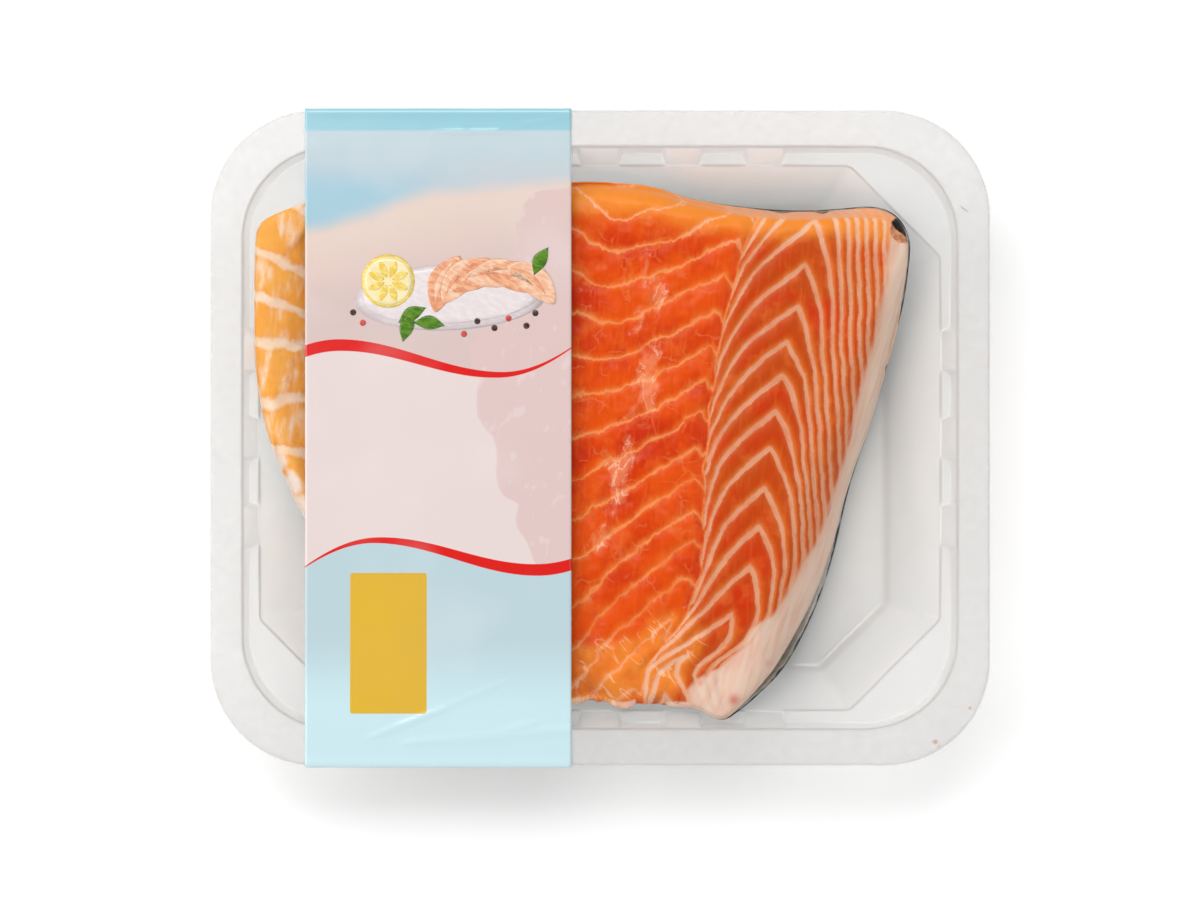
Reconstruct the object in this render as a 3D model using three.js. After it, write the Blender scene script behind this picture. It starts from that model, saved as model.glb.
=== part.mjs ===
// A retail pack of one salmon fillet with its skin on: a clear formed tray with a wide sealing rim,
// a clear lidding film, a printed band folded over the rim, and the fillet inside.
// Millimetres, +Z up. The origin is under the middle of the tray's base, on the surface it stands on.
// +X runs along the long side of the pack, towards the fillet's thick back edge.
import * as THREE from "three";

// Pack
const PACK_LENGTH = 210;
const PACK_WIDTH = 176.4;
const RIM_TOP = 34;
const WALL = 0.8;

// Rim: the flat sealing face, its rounded corners and the lip turned down round its edge
const RIM_CORNER = 28.5;
const RIM_BREADTH_X = 9.1;
const RIM_BREADTH_Y = 10.1;
const MOUTH_CORNER = 24.8;
const LIP_DEPTH = 3;
const LIP_ROUND = 0.6;

// Ledge: the shelf inside the rim, wide at the cut-off corners and in the stacking pockets
const LEDGE_HALF_X = 92.3;
const LEDGE_HALF_Y = 73.8;
const LEDGE_HEIGHT = 24;
const LEDGE_CUT = 24.5;
const LAND_STEP = 0.6;
const POCKET_DEPTH = 2.6;

// Base of the tray
const BASE_HALF_X = 80;
const BASE_HALF_Y = 64.5;
const BASE_CUT = 18;
const BASE_ROUND = 1.2;

// Stacking pockets in the upper wall: edges of each, measured from the middle of its side
const POCKET_EDGES_LONG = [5.55, 17.25, 27.45, 39.15, 49.8];
const POCKET_EDGES_SHORT = [5.7, 17.9, 29.5];
const POCKET_RAMP = 0.75;
const CORNER_STEPS = 4;
const CORNER_FLAT = 0.2;
const CUT_ROUND = 3;
const LEDGE_RISE = 0.2;

// Film and printed band
const FILM_THICKNESS = 0.3;
const FILM_INSET = 0.4;
const SEAL_GAP = 0.1;
const BAND_THICKNESS = 0.3;
const BAND_LEFT = -79.3;
const BAND_RIGHT = -7.7;
const BAND_TURN_DOWN = 3.4;
const BAND_EDGE_GAP = 0.15;
const BAND_BEND = 0.5;

// Fillet: thickness and clearances of flesh and skin, and the fineness of their surfaces
const SKIN_THICKNESS = 0.9;
const SOFT_GAP = 0.3;
const CELLS_ACROSS = 28;
const CELLS_DOWN = 22;
const GRID_SLACK = 2.4;
const FLESH_BULGE = 0.6;
const FLESH_THINNEST = 3.5;
const TOP_LIMIT = RIM_TOP - 1.4;

// Muscle bands: how far apart the white sheets between them lie, and how deep they and the mid-line show
const LOIN_PITCH = 10.4;
const BELLY_PITCH = 11.3;
const BAND_DEPTH = 0.5;
const SEAM_DEPTH = 0.8;
const SEAM_BREADTH = 2.5;
const BUNDLE_START = 12.6;
const BUNDLE_FADE = 5;

// A chamfered rectangle with rounded vertices, as one closed loop with a fixed number of points, so that
// loops of different sizes can be skinned together. A cut of 0.586 times the radius makes a round corner.
function loopPoints({ halfX, halfY, cut, radius }) {
  const tangent = radius * Math.tan(Math.PI / 8);
  const stations = {
    long: stationsAlong(POCKET_EDGES_LONG),
    short: stationsAlong(POCKET_EDGES_SHORT),
  };
  const points = [];
  for (let side = 0; side < 4; side++) {
    const isLong = side % 2 === 0;
    const out = isLong ? halfY : halfX;
    const reach = isLong ? halfX : halfY;
    const turn = (side * Math.PI) / 2;
    const put = (along, away) => {
      // Side 0 faces -Y and runs towards +X; each later side is a quarter turn on.
      const x = along * Math.cos(turn) + away * Math.sin(turn);
      const y = along * Math.sin(turn) - away * Math.cos(turn);
      points.push(new THREE.Vector2(x, y));
    };
    for (const along of isLong ? stations.long : stations.short) put(along, out);
    const first = { along: reach - cut - tangent, away: out - radius };
    const second = { along: reach - radius, away: out - cut - tangent };
    for (let k = 0; k <= CORNER_STEPS; k++) {
      const angle = (k / CORNER_STEPS) * (Math.PI / 4);
      put(first.along + radius * Math.sin(angle), first.away + radius * Math.cos(angle));
    }
    for (let k = 0; k <= CORNER_STEPS; k++) {
      const angle = Math.PI / 4 + (k / CORNER_STEPS) * (Math.PI / 4);
      put(second.along + radius * Math.sin(angle), second.away + radius * Math.cos(angle));
    }
  }
  return points;
}

function stationsAlong(edges) {
  const positive = edges.flatMap((edge) => [edge - POCKET_RAMP, edge + POCKET_RAMP]);
  return [...positive.map((s) => -s).reverse(), ...positive];
}

// For each point of a loop, 1 where the upper wall is set back into a pocket or corner, and 0 on a land.
function pocketShares() {
  const shares = [];
  for (let side = 0; side < 4; side++) {
    const edges = side % 2 === 0 ? POCKET_EDGES_LONG : POCKET_EDGES_SHORT;
    for (const along of stationsAlong(edges)) {
      const passed = edges.filter((edge) => Math.abs(along) > edge).length;
      shares.push(passed % 2);
    }
    for (let k = 0; k < 2 * (CORNER_STEPS + 1); k++) shares.push(1);
  }
  return shares;
}

function roundCorner(radius) {
  return { cut: radius * (2 - Math.SQRT2) + CORNER_FLAT, radius };
}

// Skins a list of rings, each a list of Vector3, into one closed surface with a flat cap at each end.
function skinRings(rings) {
  const count = rings[0].length;
  const positions = rings.flat().flatMap((p) => [p.x, p.y, p.z]);
  const index = [];
  for (let r = 0; r + 1 < rings.length; r++) {
    for (let i = 0; i < count; i++) {
      const a = r * count + i;
      const b = r * count + ((i + 1) % count);
      index.push(a, b, b + count, a, b + count, a + count);
    }
  }
  const cap = (ring, base, flip) => {
    const flat = rings[ring].map((p) => new THREE.Vector2(p.x, p.y));
    for (const [a, b, c] of THREE.ShapeUtils.triangulateShape(flat, [])) {
      index.push(...(flip ? [base + a, base + c, base + b] : [base + a, base + b, base + c]));
    }
  };
  cap(0, 0, true);
  cap(rings.length - 1, (rings.length - 1) * count, false);
  const geometry = new THREE.BufferGeometry();
  geometry.setAttribute("position", new THREE.Float32BufferAttribute(positions, 3));
  geometry.setIndex(index);
  return geometry;
}

function trayGeometry() {
  const shares = pocketShares();
  const halfX = PACK_LENGTH / 2;
  const halfY = PACK_WIDTH / 2;
  const mouthX = halfX - RIM_BREADTH_X;
  const mouthY = halfY - RIM_BREADTH_Y;
  const ring = (size, z) => loopPoints(size).map((p) => new THREE.Vector3(p.x, p.y, z));
  const rim = (inset, z) =>
    ring({ halfX: halfX - inset, halfY: halfY - inset, ...roundCorner(RIM_CORNER - inset) }, z);
  const mouth = (grow, z) =>
    ring({ halfX: mouthX + grow, halfY: mouthY + grow, ...roundCorner(MOUTH_CORNER + grow) }, z);
  const ledge = (grow, z) =>
    ring({ halfX: LEDGE_HALF_X + grow, halfY: LEDGE_HALF_Y + grow, cut: LEDGE_CUT, radius: CUT_ROUND }, z);
  const base = (grow, z) =>
    ring({ halfX: BASE_HALF_X + grow, halfY: BASE_HALF_Y + grow, cut: BASE_CUT, radius: CUT_ROUND }, z);
  // The wall just above the ledge follows the mouth in the pockets and the ledge on the lands between them.
  const upperWall = (grow, z) => {
    const back = mouth(grow - POCKET_DEPTH / 4, z);
    const land = ledge(grow + LAND_STEP, z);
    return back.map((p, i) => p.clone().lerp(land[i], 1 - shares[i]));
  };
  return skinRings([
    base(-BASE_ROUND + WALL / 2, 0),
    base(WALL, BASE_ROUND + WALL),
    ledge(WALL, LEDGE_HEIGHT - WALL),
    upperWall(WALL, LEDGE_HEIGHT - WALL + LEDGE_RISE),
    mouth(WALL, RIM_TOP - WALL),
    rim(WALL, RIM_TOP - WALL),
    rim(WALL, RIM_TOP - LIP_DEPTH),
    rim(0, RIM_TOP - LIP_DEPTH),
    rim(0, RIM_TOP - LIP_ROUND),
    rim(LIP_ROUND, RIM_TOP),
    mouth(0, RIM_TOP),
    upperWall(0, LEDGE_HEIGHT + LEDGE_RISE),
    ledge(0, LEDGE_HEIGHT),
    base(0, BASE_ROUND + WALL),
    base(-BASE_ROUND, WALL),
  ]);
}

// Height of the tray's inside above the table at a plan point, for a tray shrunk by a margin all round. The
// inside rises at 45 degrees round the foot of the wall and then at the wall's own slope.
function trayInside(x, y, margin = 0) {
  const spreadX = LEDGE_HALF_X - BASE_HALF_X;
  const spreadY = LEDGE_HALF_Y - BASE_HALF_Y;
  const baseReach = BASE_HALF_X + BASE_HALF_Y - BASE_CUT;
  const spreadCut = (spreadX + spreadY - (LEDGE_CUT - BASE_CUT)) / Math.SQRT2;
  const foot = WALL + BASE_ROUND;
  const outside = [
    [Math.abs(x) - BASE_HALF_X, spreadX],
    [Math.abs(y) - BASE_HALF_Y, spreadY],
    [(Math.abs(x) + Math.abs(y) - baseReach) / Math.SQRT2, spreadCut],
  ];
  const heights = outside.map(([distance, spread]) => {
    const out = distance + margin;
    return foot + (out > 0 ? (out * (LEDGE_HEIGHT - foot)) / spread : out);
  });
  return Math.min(Math.max(WALL, ...heights), LEDGE_HEIGHT);
}

// Plan outline of the fillet, clockwise from its top left corner: the end cut along the top, the back edge
// down the right, the ragged end cut along the bottom, and the belly edge up the left.
const END_CUT_TOP = [
  [-91.6, 56.3], [-87.5, 59.6], [-78, 62.4], [-61.6, 64.6], [-37.5, 66.5], [-16, 67.5], [0.1, 68.1],
  [13.6, 67.5], [24.3, 64.8], [37.7, 62.7], [53.8, 61.6], [70.5, 62.2], [78, 60.8],
];
const BACK_EDGE = [
  [82.3, 56.3], [83.4, 49], [82, 39.1], [78.5, 24.8], [73.2, 5.2], [67.3, -12.8], [62.4, -32.9],
  [57.1, -47.9], [49.8, -61.4], [42.3, -69.4],
];
const END_CUT_BOTTOM = [
  [37.2, -73.6], [33.6, -75.8], [29.8, -75], [26, -72.8], [17.3, -71.6], [8.2, -71.4], [0.1, -70.2],
  [-7.4, -70.5], [-21.3, -69.1], [-37.5, -61.9], [-53.6, -50.3], [-68.3, -35.6],
];
const BELLY_EDGE = [
  [-79.3, -20.8], [-84.7, -8.7], [-89.6, 4.7], [-92, 18.1], [-92.6, 34.2], [-92.4, 49],
];
const FILLET_MIDDLE = new THREE.Vector2(-6, -2);

// Height of the flesh above the table, as pairs of place along X and height, and the same for its underside.
const CROWN = [
  [-94, 30.4], [-88, 29], [-80, 24.5], [-70, 19.5], [-58, 17], [-46, 17.5], [-34, 21], [-22, 26], [-10, 29.6],
  [2, 31.2], [30, 31.8], [55, 31.4], [70, 30.4], [84, 28.6],
];
const UNDERSIDE = [
  [-94, 25.8], [-88, 20], [-80, 12], [-70, 6], [-60, 3.2], [-48, 2.4], [84, 2.4],
];

// Edge of the fillet, side by side in the outline's order: place along the side from 0 to 1, low corner, high
// corner, and breadth of the rounding that runs from the high corner up to the crown.
const EDGE = [
  [
    [0, 25.6, 29, 5], [0.06, 25.6, 29.4, 5], [0.12, 20, 26, 5], [0.2, 9, 19, 6], [0.32, 10, 17.5, 6],
    [0.6, 15, 25, 5], [0.85, 14, 26.5, 6], [1, 24, 28.6, 5],
  ],
  [
    [0, 24, 28.6, 5], [0.07, 19, 25.5, 7], [0.17, 9, 14, 12], [0.3, 6.5, 10.5, 14], [0.6, 4, 8.5, 15],
    [0.8, 9, 14, 13], [0.93, 25, 28, 7], [1, 27, 29.8, 6],
  ],
  [
    [0, 27, 29.8, 6], [0.08, 27, 29.8, 6], [0.16, 21, 27, 6], [0.3, 17, 21.5, 10], [0.55, 14, 19.5, 8],
    [0.8, 4.5, 12, 7], [1, 12, 17.5, 6],
  ],
  [[0, 12, 17.5, 6], [0.35, 20.5, 24.5, 5], [0.6, 25, 29, 5], [1, 25.6, 29, 5]],
];

// Lines of the muscle pattern, as pairs of place along Y and place along X: the mid-line between loin and
// belly, and the line of the loin's arrow tips.
const MIDLINE = [
  [-62.9, 11.6], [-57.8, 15.6], [-46.3, 23.9], [-32.8, 27.4], [-11.3, 28], [7.5, 29.6], [23.7, 32],
  [45.7, 37.1], [60, 42.2],
];
const TIP_LINE = [
  [-46, 37.1], [-22, 43], [-1.6, 45.7], [18, 49.2], [36.8, 53.8], [58.4, 58.4],
];
// How far a white line of the loin has dropped below its tip: inwards as a share of the way to the mid-line,
// and outwards in millimetres to where the lines run together in a bundle along the back.
const INNER_ARM = [[0, 0], [0.1, 1.2], [0.45, 10.8], [0.7, 17.5], [0.9, 24.5], [1, 30]];
const OUTER_ARM = [[0, 0], [1, 0.9], [5.4, 7.6], [9.9, 16], [12.6, 25], [16, 41], [24, 76], [40, 145]];
// How far a white line of the belly has dropped, from its place at the start of this table towards the
// mid-line, near the top of the fillet and near its bottom.
const BELLY_START = -7.5;
const BELLY_DROP_HIGH = [[-90, 2], [-30, -4], [0, 0], [9, 6.2], [18, 5.6], [28, 2.7], [36, -1.3], [46, -5.6]];
const BELLY_DROP_LOW = [[-90, 0], [-30, 3], [0, 0], [9, -4], [28, -14.5], [36, -19.6], [46, -25]];
const BELLY_HIGH_Y = 58.4;
const BELLY_SPAN_Y = 70.5;

// Reads one column of a table of points as a smooth curve, held level beyond both ends.
function curveAt(table, at, column = 1) {
  const last = table.length - 1;
  if (at <= table[0][0]) return table[0][column];
  if (at >= table[last][0]) return table[last][column];
  const i = table.findIndex(([place]) => place > at) - 1;
  const slope = (k) => {
    const before = table[Math.max(k - 1, 0)];
    const after = table[Math.min(k + 1, last)];
    return (after[column] - before[column]) / (after[0] - before[0]);
  };
  const span = table[i + 1][0] - table[i][0];
  const t = (at - table[i][0]) / span;
  const level = THREE.MathUtils.lerp(table[i][column], table[i + 1][column], t * t * (3 - 2 * t));
  return level + span * t * (1 - t) * (slope(i) * (1 - t) - slope(i + 1) * t);
}

// The outline cut into its four sides, each a function from 0..1 to a plan point, evenly spaced.
function outlineSides() {
  const lists = [END_CUT_TOP, BACK_EDGE, END_CUT_BOTTOM, BELLY_EDGE];
  const points = lists.flat().map(([x, y]) => new THREE.Vector3(x, y, 0));
  const curve = new THREE.CatmullRomCurve3(points, true, "catmullrom", 0.5);
  const steps = 200;
  let start = 0;
  return lists.map((list) => {
    const [first, last] = [start, start + list.length].map((k) => k / points.length);
    start += list.length;
    const samples = [];
    for (let k = 0; k <= steps; k++) {
      samples.push(curve.getPoint(THREE.MathUtils.lerp(first, last, k / steps)));
    }
    const along = [0];
    for (let k = 1; k <= steps; k++) along.push(along[k - 1] + samples[k].distanceTo(samples[k - 1]));
    return (share) => {
      const wanted = share * along[steps];
      const k = Math.min(Math.max(along.findIndex((a) => a >= wanted), 1), steps);
      return samples[k - 1].clone().lerp(samples[k], (wanted - along[k - 1]) / (along[k] - along[k - 1]));
    };
  });
}
const SIDES = outlineSides();

// Maps a point of the square -1..1 onto the fillet's plan: rings of the square become shrunken outlines.
function fromSquare(u, v) {
  const ring = Math.max(Math.abs(u), Math.abs(v));
  if (ring === 0) return { x: FILLET_MIDDLE.x, y: FILLET_MIDDLE.y, inset: Infinity };
  let side = 3;
  let share = (v / ring + 1) / 2;
  if (v === ring) [side, share] = [0, (u / ring + 1) / 2];
  else if (u === ring) [side, share] = [1, (1 - v / ring) / 2];
  else if (v === -ring) [side, share] = [2, (1 - u / ring) / 2];
  const rim = SIDES[side](share);
  const dx = rim.x - FILLET_MIDDLE.x;
  const dy = rim.y - FILLET_MIDDLE.y;
  return {
    x: FILLET_MIDDLE.x + ring * dx,
    y: FILLET_MIDDLE.y + ring * dy,
    inset: (1 - ring) * Math.hypot(dx, dy),
    low: curveAt(EDGE[side], share, 1),
    high: curveAt(EDGE[side], share, 2),
    breadth: curveAt(EDGE[side], share, 3),
  };
}

// Counts muscle bands up the fillet; each whole number is one sheet of white tissue.
function bandCount(x, y) {
  const middle = curveAt(MIDLINE, y);
  if (x < middle) {
    const out = x - BELLY_START;
    const high = curveAt(BELLY_DROP_HIGH, out);
    const change = (curveAt(BELLY_DROP_LOW, out) - high) / BELLY_SPAN_Y;
    return (y + high + BELLY_HIGH_Y * change) / (1 + change) / BELLY_PITCH;
  }
  const out = x - curveAt(TIP_LINE, y);
  const drop = out < 0 ? curveAt(INNER_ARM, out / (middle - curveAt(TIP_LINE, y))) : curveAt(OUTER_ARM, out);
  return (y + drop) / LOIN_PITCH;
}

// Depth of the flesh's low relief: a furrow along each white sheet and a deeper one along the mid-line.
function furrows(x, y) {
  const out = x - curveAt(TIP_LINE, y);
  const bundled = THREE.MathUtils.smoothstep(out, BUNDLE_START, BUNDLE_START + BUNDLE_FADE);
  const bands = BAND_DEPTH * (0.5 + 0.5 * Math.cos(2 * Math.PI * bandCount(x, y))) * (1 - bundled);
  const off = (x - curveAt(MIDLINE, y)) / SEAM_BREADTH;
  return bands + SEAM_DEPTH * Math.exp(-off * off);
}

// How far a plan point has gone out through the rounded edge, from 0 at the rounding's start to 1 at the rim.
function edgeShare(p) {
  return p.inset < p.breadth ? 1 - p.inset / p.breadth : 0;
}

function fleshUnder(p) {
  const clear = SKIN_THICKNESS + 2 * SOFT_GAP;
  const rest = Math.max(curveAt(UNDERSIDE, p.x), trayInside(p.x, p.y, clear + GRID_SLACK) + clear);
  const out = edgeShare(p);
  return out > 0 ? Math.max(rest, THREE.MathUtils.lerp(rest, p.low, out * out)) : rest;
}

function fleshTop(p) {
  const crown = Math.min(curveAt(CROWN, p.x), TOP_LIMIT) - furrows(p.x, p.y);
  const out = edgeShare(p);
  const rounded = out > 0 ? THREE.MathUtils.lerp(p.high, crown, Math.sqrt(1 - out * out)) : crown;
  return Math.max(rounded, fleshUnder(p) + FLESH_THINNEST);
}

const skinTop = (p) => fleshUnder(p) - SOFT_GAP;
const skinUnder = (p) => skinTop(p) - SKIN_THICKNESS;

// Collects shared points and triangles, and gives them back as a geometry.
class Surface {
  positions = [];
  index = [];

  // Adds a point and returns its number.
  point(x, y, z) {
    return this.positions.push(x, y, z) / 3 - 1;
  }

  // Adds a grid of cells over the fillet's plan, facing up or down, and returns its border anticlockwise.
  planGrid(across, down, height, facesUp) {
    const rows = [];
    for (let j = 0; j <= down; j++) {
      const row = [];
      for (let i = 0; i <= across; i++) {
        const p = fromSquare((2 * i) / across - 1, (2 * j) / down - 1);
        row.push({ ...p, number: this.point(p.x, p.y, height(p)) });
      }
      rows.push(row);
    }
    for (let j = 0; j < down; j++) {
      for (let i = 0; i < across; i++) {
        const corners = [rows[j][i], rows[j][i + 1], rows[j + 1][i + 1], rows[j + 1][i]];
        const [a, b, c, d] = corners.map((p) => p.number);
        this.index.push(...(facesUp ? [a, b, c, a, c, d] : [a, c, b, a, d, c]));
      }
    }
    return [
      ...rows[0].slice(0, -1),
      ...rows.slice(0, -1).map((row) => row[across]),
      ...rows[down].slice(1).reverse(),
      ...rows.slice(1).map((row) => row[0]).reverse(),
    ];
  }

  // Closes the side between two borders, the upper one with a whole number of steps for each lower step.
  side(lower, upper) {
    const fine = upper.length / lower.length;
    const middle = Math.ceil(fine / 2);
    const above = (k, step) => upper[(k * fine + step) % upper.length].number;
    lower.forEach(({ number: low }, k) => {
      const next = lower[(k + 1) % lower.length].number;
      this.index.push(low, next, above(k, middle));
      for (let step = 0; step < fine; step++) {
        this.index.push(step < middle ? low : next, above(k, step + 1), above(k, step));
      }
    });
  }

  geometry() {
    const geometry = new THREE.BufferGeometry();
    geometry.setAttribute("position", new THREE.Float32BufferAttribute(this.positions, 3));
    geometry.setIndex(this.index);
    return geometry;
  }
}

// The flesh: a fine upper face with the relief, a side bulged out at half height, and a plain underside.
function fleshGeometry() {
  const surface = new Surface();
  const upper = surface.planGrid(2 * CELLS_ACROSS, 2 * CELLS_DOWN, fleshTop, true);
  const lower = surface.planGrid(CELLS_ACROSS, CELLS_DOWN, fleshUnder, false);
  const waist = upper.map((p) => {
    const out = new THREE.Vector2(p.x, p.y).sub(FILLET_MIDDLE).setLength(FLESH_BULGE);
    return { number: surface.point(p.x + out.x, p.y + out.y, (fleshTop(p) + fleshUnder(p)) / 2) };
  });
  surface.side(lower, waist);
  surface.side(waist, upper);
  return surface.geometry();
}

// The skin: one even layer under all of the flesh.
function skinGeometry() {
  const surface = new Surface();
  const upper = surface.planGrid(CELLS_ACROSS, CELLS_DOWN, skinTop, true);
  const lower = surface.planGrid(CELLS_ACROSS, CELLS_DOWN, skinUnder, false);
  surface.side(lower, upper);
  return surface.geometry();
}

function filmGeometry() {
  const outline = loopPoints({
    halfX: PACK_LENGTH / 2 - FILM_INSET,
    halfY: PACK_WIDTH / 2 - FILM_INSET,
    ...roundCorner(RIM_CORNER - FILM_INSET),
  });
  return new THREE.ExtrudeGeometry(new THREE.Shape(outline), { depth: FILM_THICKNESS, bevelEnabled: false });
}

// The printed band: a strip over the film whose two ends turn down over the lip, drawn as its side view.
function bandGeometry() {
  const inner = PACK_WIDTH / 2 + BAND_EDGE_GAP;
  const under = RIM_TOP + SEAL_GAP + FILM_THICKNESS + SEAL_GAP;
  const hem = under - BAND_TURN_DOWN;
  const arch = (half, top) => [
    [-half, hem], [-half, top - BAND_BEND], [-half + BAND_BEND, top],
    [half - BAND_BEND, top], [half, top - BAND_BEND], [half, hem],
  ];
  const profile = [...arch(inner + BAND_THICKNESS, under + BAND_THICKNESS), ...arch(inner, under).reverse()];
  const shape = new THREE.Shape(profile.map(([y, z]) => new THREE.Vector2(y, z)));
  const geometry = new THREE.ExtrudeGeometry(shape, { depth: BAND_RIGHT - BAND_LEFT, bevelEnabled: false });
  const axes = new THREE.Matrix4().makeBasis(
    new THREE.Vector3(0, 1, 0),
    new THREE.Vector3(0, 0, 1),
    new THREE.Vector3(1, 0, 0),
  );
  return geometry.applyMatrix4(axes);
}

function piece(name, geometry, colour, roughness, opacity = 1) {
  geometry.computeVertexNormals();
  const material = new THREE.MeshStandardMaterial({
    color: colour,
    roughness,
    metalness: 0,
    transparent: opacity < 1,
    opacity,
  });
  const mesh = new THREE.Mesh(geometry, material);
  mesh.name = name;
  return mesh;
}

const pack = new THREE.Group();

pack.add(piece("tray", trayGeometry(), "#e4e4e2", 0.2, 0.5));

const film = piece("lid_film", filmGeometry(), "#f4f4f2", 0.1, 0.2);
film.position.z = RIM_TOP + SEAL_GAP;
pack.add(film);

const band = piece("printed_band", bandGeometry(), "#cfe3ea", 0.3);
band.position.x = BAND_LEFT;
pack.add(band);

pack.add(piece("fillet_flesh", fleshGeometry(), "#e8692c", 0.35));
pack.add(piece("fillet_skin", skinGeometry(), "#5b6163", 0.4));

export default pack;
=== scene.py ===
"""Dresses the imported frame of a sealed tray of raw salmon: tray, lidding film, printed band, flesh and skin.

Sizes and tables are in millimetres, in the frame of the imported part: +X towards the fillet's thick back
edge, +Y towards its upper end cut, +Z up, with the origin on the table under the middle of the tray. A mesh
is made in those sizes and turned into metres once, when it becomes an object.
"""

import logging
import math
from dataclasses import dataclass
from enum import Enum
from typing import Callable, Sequence

import bmesh
import bpy
import numpy as np
from mathutils import Matrix, Vector


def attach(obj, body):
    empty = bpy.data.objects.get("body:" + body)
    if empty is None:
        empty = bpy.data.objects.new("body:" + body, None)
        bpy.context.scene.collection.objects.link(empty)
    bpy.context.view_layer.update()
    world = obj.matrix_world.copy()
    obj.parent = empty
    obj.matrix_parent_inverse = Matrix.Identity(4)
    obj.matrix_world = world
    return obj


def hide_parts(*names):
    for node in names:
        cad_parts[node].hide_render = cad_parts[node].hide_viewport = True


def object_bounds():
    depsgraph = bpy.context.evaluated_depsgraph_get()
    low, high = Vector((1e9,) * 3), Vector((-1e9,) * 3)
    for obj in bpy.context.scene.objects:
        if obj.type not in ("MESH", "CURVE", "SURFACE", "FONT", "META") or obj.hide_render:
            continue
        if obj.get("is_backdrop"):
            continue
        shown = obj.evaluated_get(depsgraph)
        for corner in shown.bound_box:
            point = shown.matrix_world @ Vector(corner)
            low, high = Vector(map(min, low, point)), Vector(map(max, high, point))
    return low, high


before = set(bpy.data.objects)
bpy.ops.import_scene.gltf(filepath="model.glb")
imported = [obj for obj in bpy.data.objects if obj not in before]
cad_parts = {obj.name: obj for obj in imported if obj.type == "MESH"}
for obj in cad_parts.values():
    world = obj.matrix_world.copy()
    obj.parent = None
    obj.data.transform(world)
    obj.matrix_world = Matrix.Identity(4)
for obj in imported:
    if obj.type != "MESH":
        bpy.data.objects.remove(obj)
CAD_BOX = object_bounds()

log = logging.getLogger("salmon_pack")

METRE = 0.001

Array = np.ndarray
Table = Sequence[Sequence[float]]
Colour = tuple[float, float, float, float]

# Pack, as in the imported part
PACK_LENGTH = 210.0
PACK_WIDTH = 176.4
RIM_TOP = 34.0
RIM_BREADTH_X = 9.1
RIM_BREADTH_Y = 10.1
RIM_CORNER = 28.5

# The photograph's frame: how far apart its pixels are on the film, and where the pack's middle is in it
MM_PER_PIXEL = 0.2689
PHOTO_WIDTH = 1200
PHOTO_HEIGHT = 900
PACK_MIDDLE_PIXEL = (600, 438)


class Slot(Enum):
    """The record's material slots."""

    TRAY = "tray_plastic"
    FILM = "film"
    PRINT = "print"
    FLESH = "flesh"
    SKIN = "skin"


def tint(red: int, green: int, blue: int) -> Colour:
    """Turns a colour as a screen shows it into the linear values that a shader takes.

    Args:
        red: The red part, 0 to 255.
        green: The green part, 0 to 255.
        blue: The blue part, 0 to 255.

    Returns:
        The linear colour with full alpha.
    """
    parts = (part / 255 for part in (red, green, blue))
    linear = (p / 12.92 if p <= 0.04045 else ((p + 0.055) / 1.055) ** 2.4 for p in parts)
    return (*linear, 1.0)


def smooth_step(start: float, end: float, value: Array) -> Array:
    """A smooth rise from 0 at start to 1 at end, or a fall where end is below start."""
    share = np.clip((value - start) / (end - start), 0, 1)
    return share * share * (3 - 2 * share)


def curve_at(table: Table, at: Array, column: int = 1) -> Array:
    """Reads one column of a table of points as a smooth curve, held level beyond both ends.

    Args:
        table: Rows that start with a rising place.
        at: The places to read.
        column: The column that holds the curve's values.

    Returns:
        The values at those places.
    """
    rows = np.array(table, float)
    place, value = rows[:, 0], rows[:, column]
    last = len(place) - 1
    number = np.arange(last + 1)
    before, after = np.maximum(number - 1, 0), np.minimum(number + 1, last)
    slope = (value[after] - value[before]) / (place[after] - place[before])
    held = np.clip(at, place[0], place[-1])
    i = np.clip(np.searchsorted(place, held, side="right") - 1, 0, last - 1)
    span = place[i + 1] - place[i]
    t = (held - place[i]) / span
    level = value[i] + (value[i + 1] - value[i]) * t * t * (3 - 2 * t)
    return level + span * t * (1 - t) * (slope[i] * (1 - t) - slope[i + 1] * t)


def soft_max(a: Array, b: Array, blend: float) -> Array:
    """The larger of two heights, rounded off where they meet."""
    return (a + b + np.sqrt((a - b) ** 2 + blend * blend)) / 2


def path_distance(path: Table, x: Array, y: Array) -> Array:
    """The distance from each plan place to a line through a list of points."""
    nearest = np.full(np.shape(x), np.inf)
    for (ax, ay), (bx, by) in zip(path, path[1:]):
        length = (bx - ax) ** 2 + (by - ay) ** 2
        share = np.clip(((x - ax) * (bx - ax) + (y - ay) * (by - ay)) / length, 0, 1)
        gap = np.hypot(x - ax - share * (bx - ax), y - ay - share * (by - ay))
        nearest = np.minimum(nearest, gap)
    return nearest


@dataclass(frozen=True)
class Ripple:
    """Smooth seeded noise over the plan, from about -1 to 1."""

    seed: int
    size: float
    cells: int = 64

    def at(self, x: Array, y: Array) -> Array:
        """Blends the random values at the corners of each cell of the lattice.

        Args:
            x: Places along X in millimetres.
            y: Places along Y in millimetres.

        Returns:
            The noise at those places.
        """
        values = np.random.default_rng(self.seed).uniform(-1, 1, (self.cells, self.cells))
        column, row = x / self.size, y / self.size
        i, j = np.floor(column).astype(int), np.floor(row).astype(int)
        s, t = (w * w * (3 - 2 * w) for w in (column - i, row - j))
        corner = [[values[(i + a) % self.cells, (j + b) % self.cells] for b in (0, 1)] for a in (0, 1)]
        low = corner[0][0] * (1 - s) + corner[1][0] * s
        high = corner[0][1] * (1 - s) + corner[1][1] * s
        return low * (1 - t) + high * t


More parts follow.
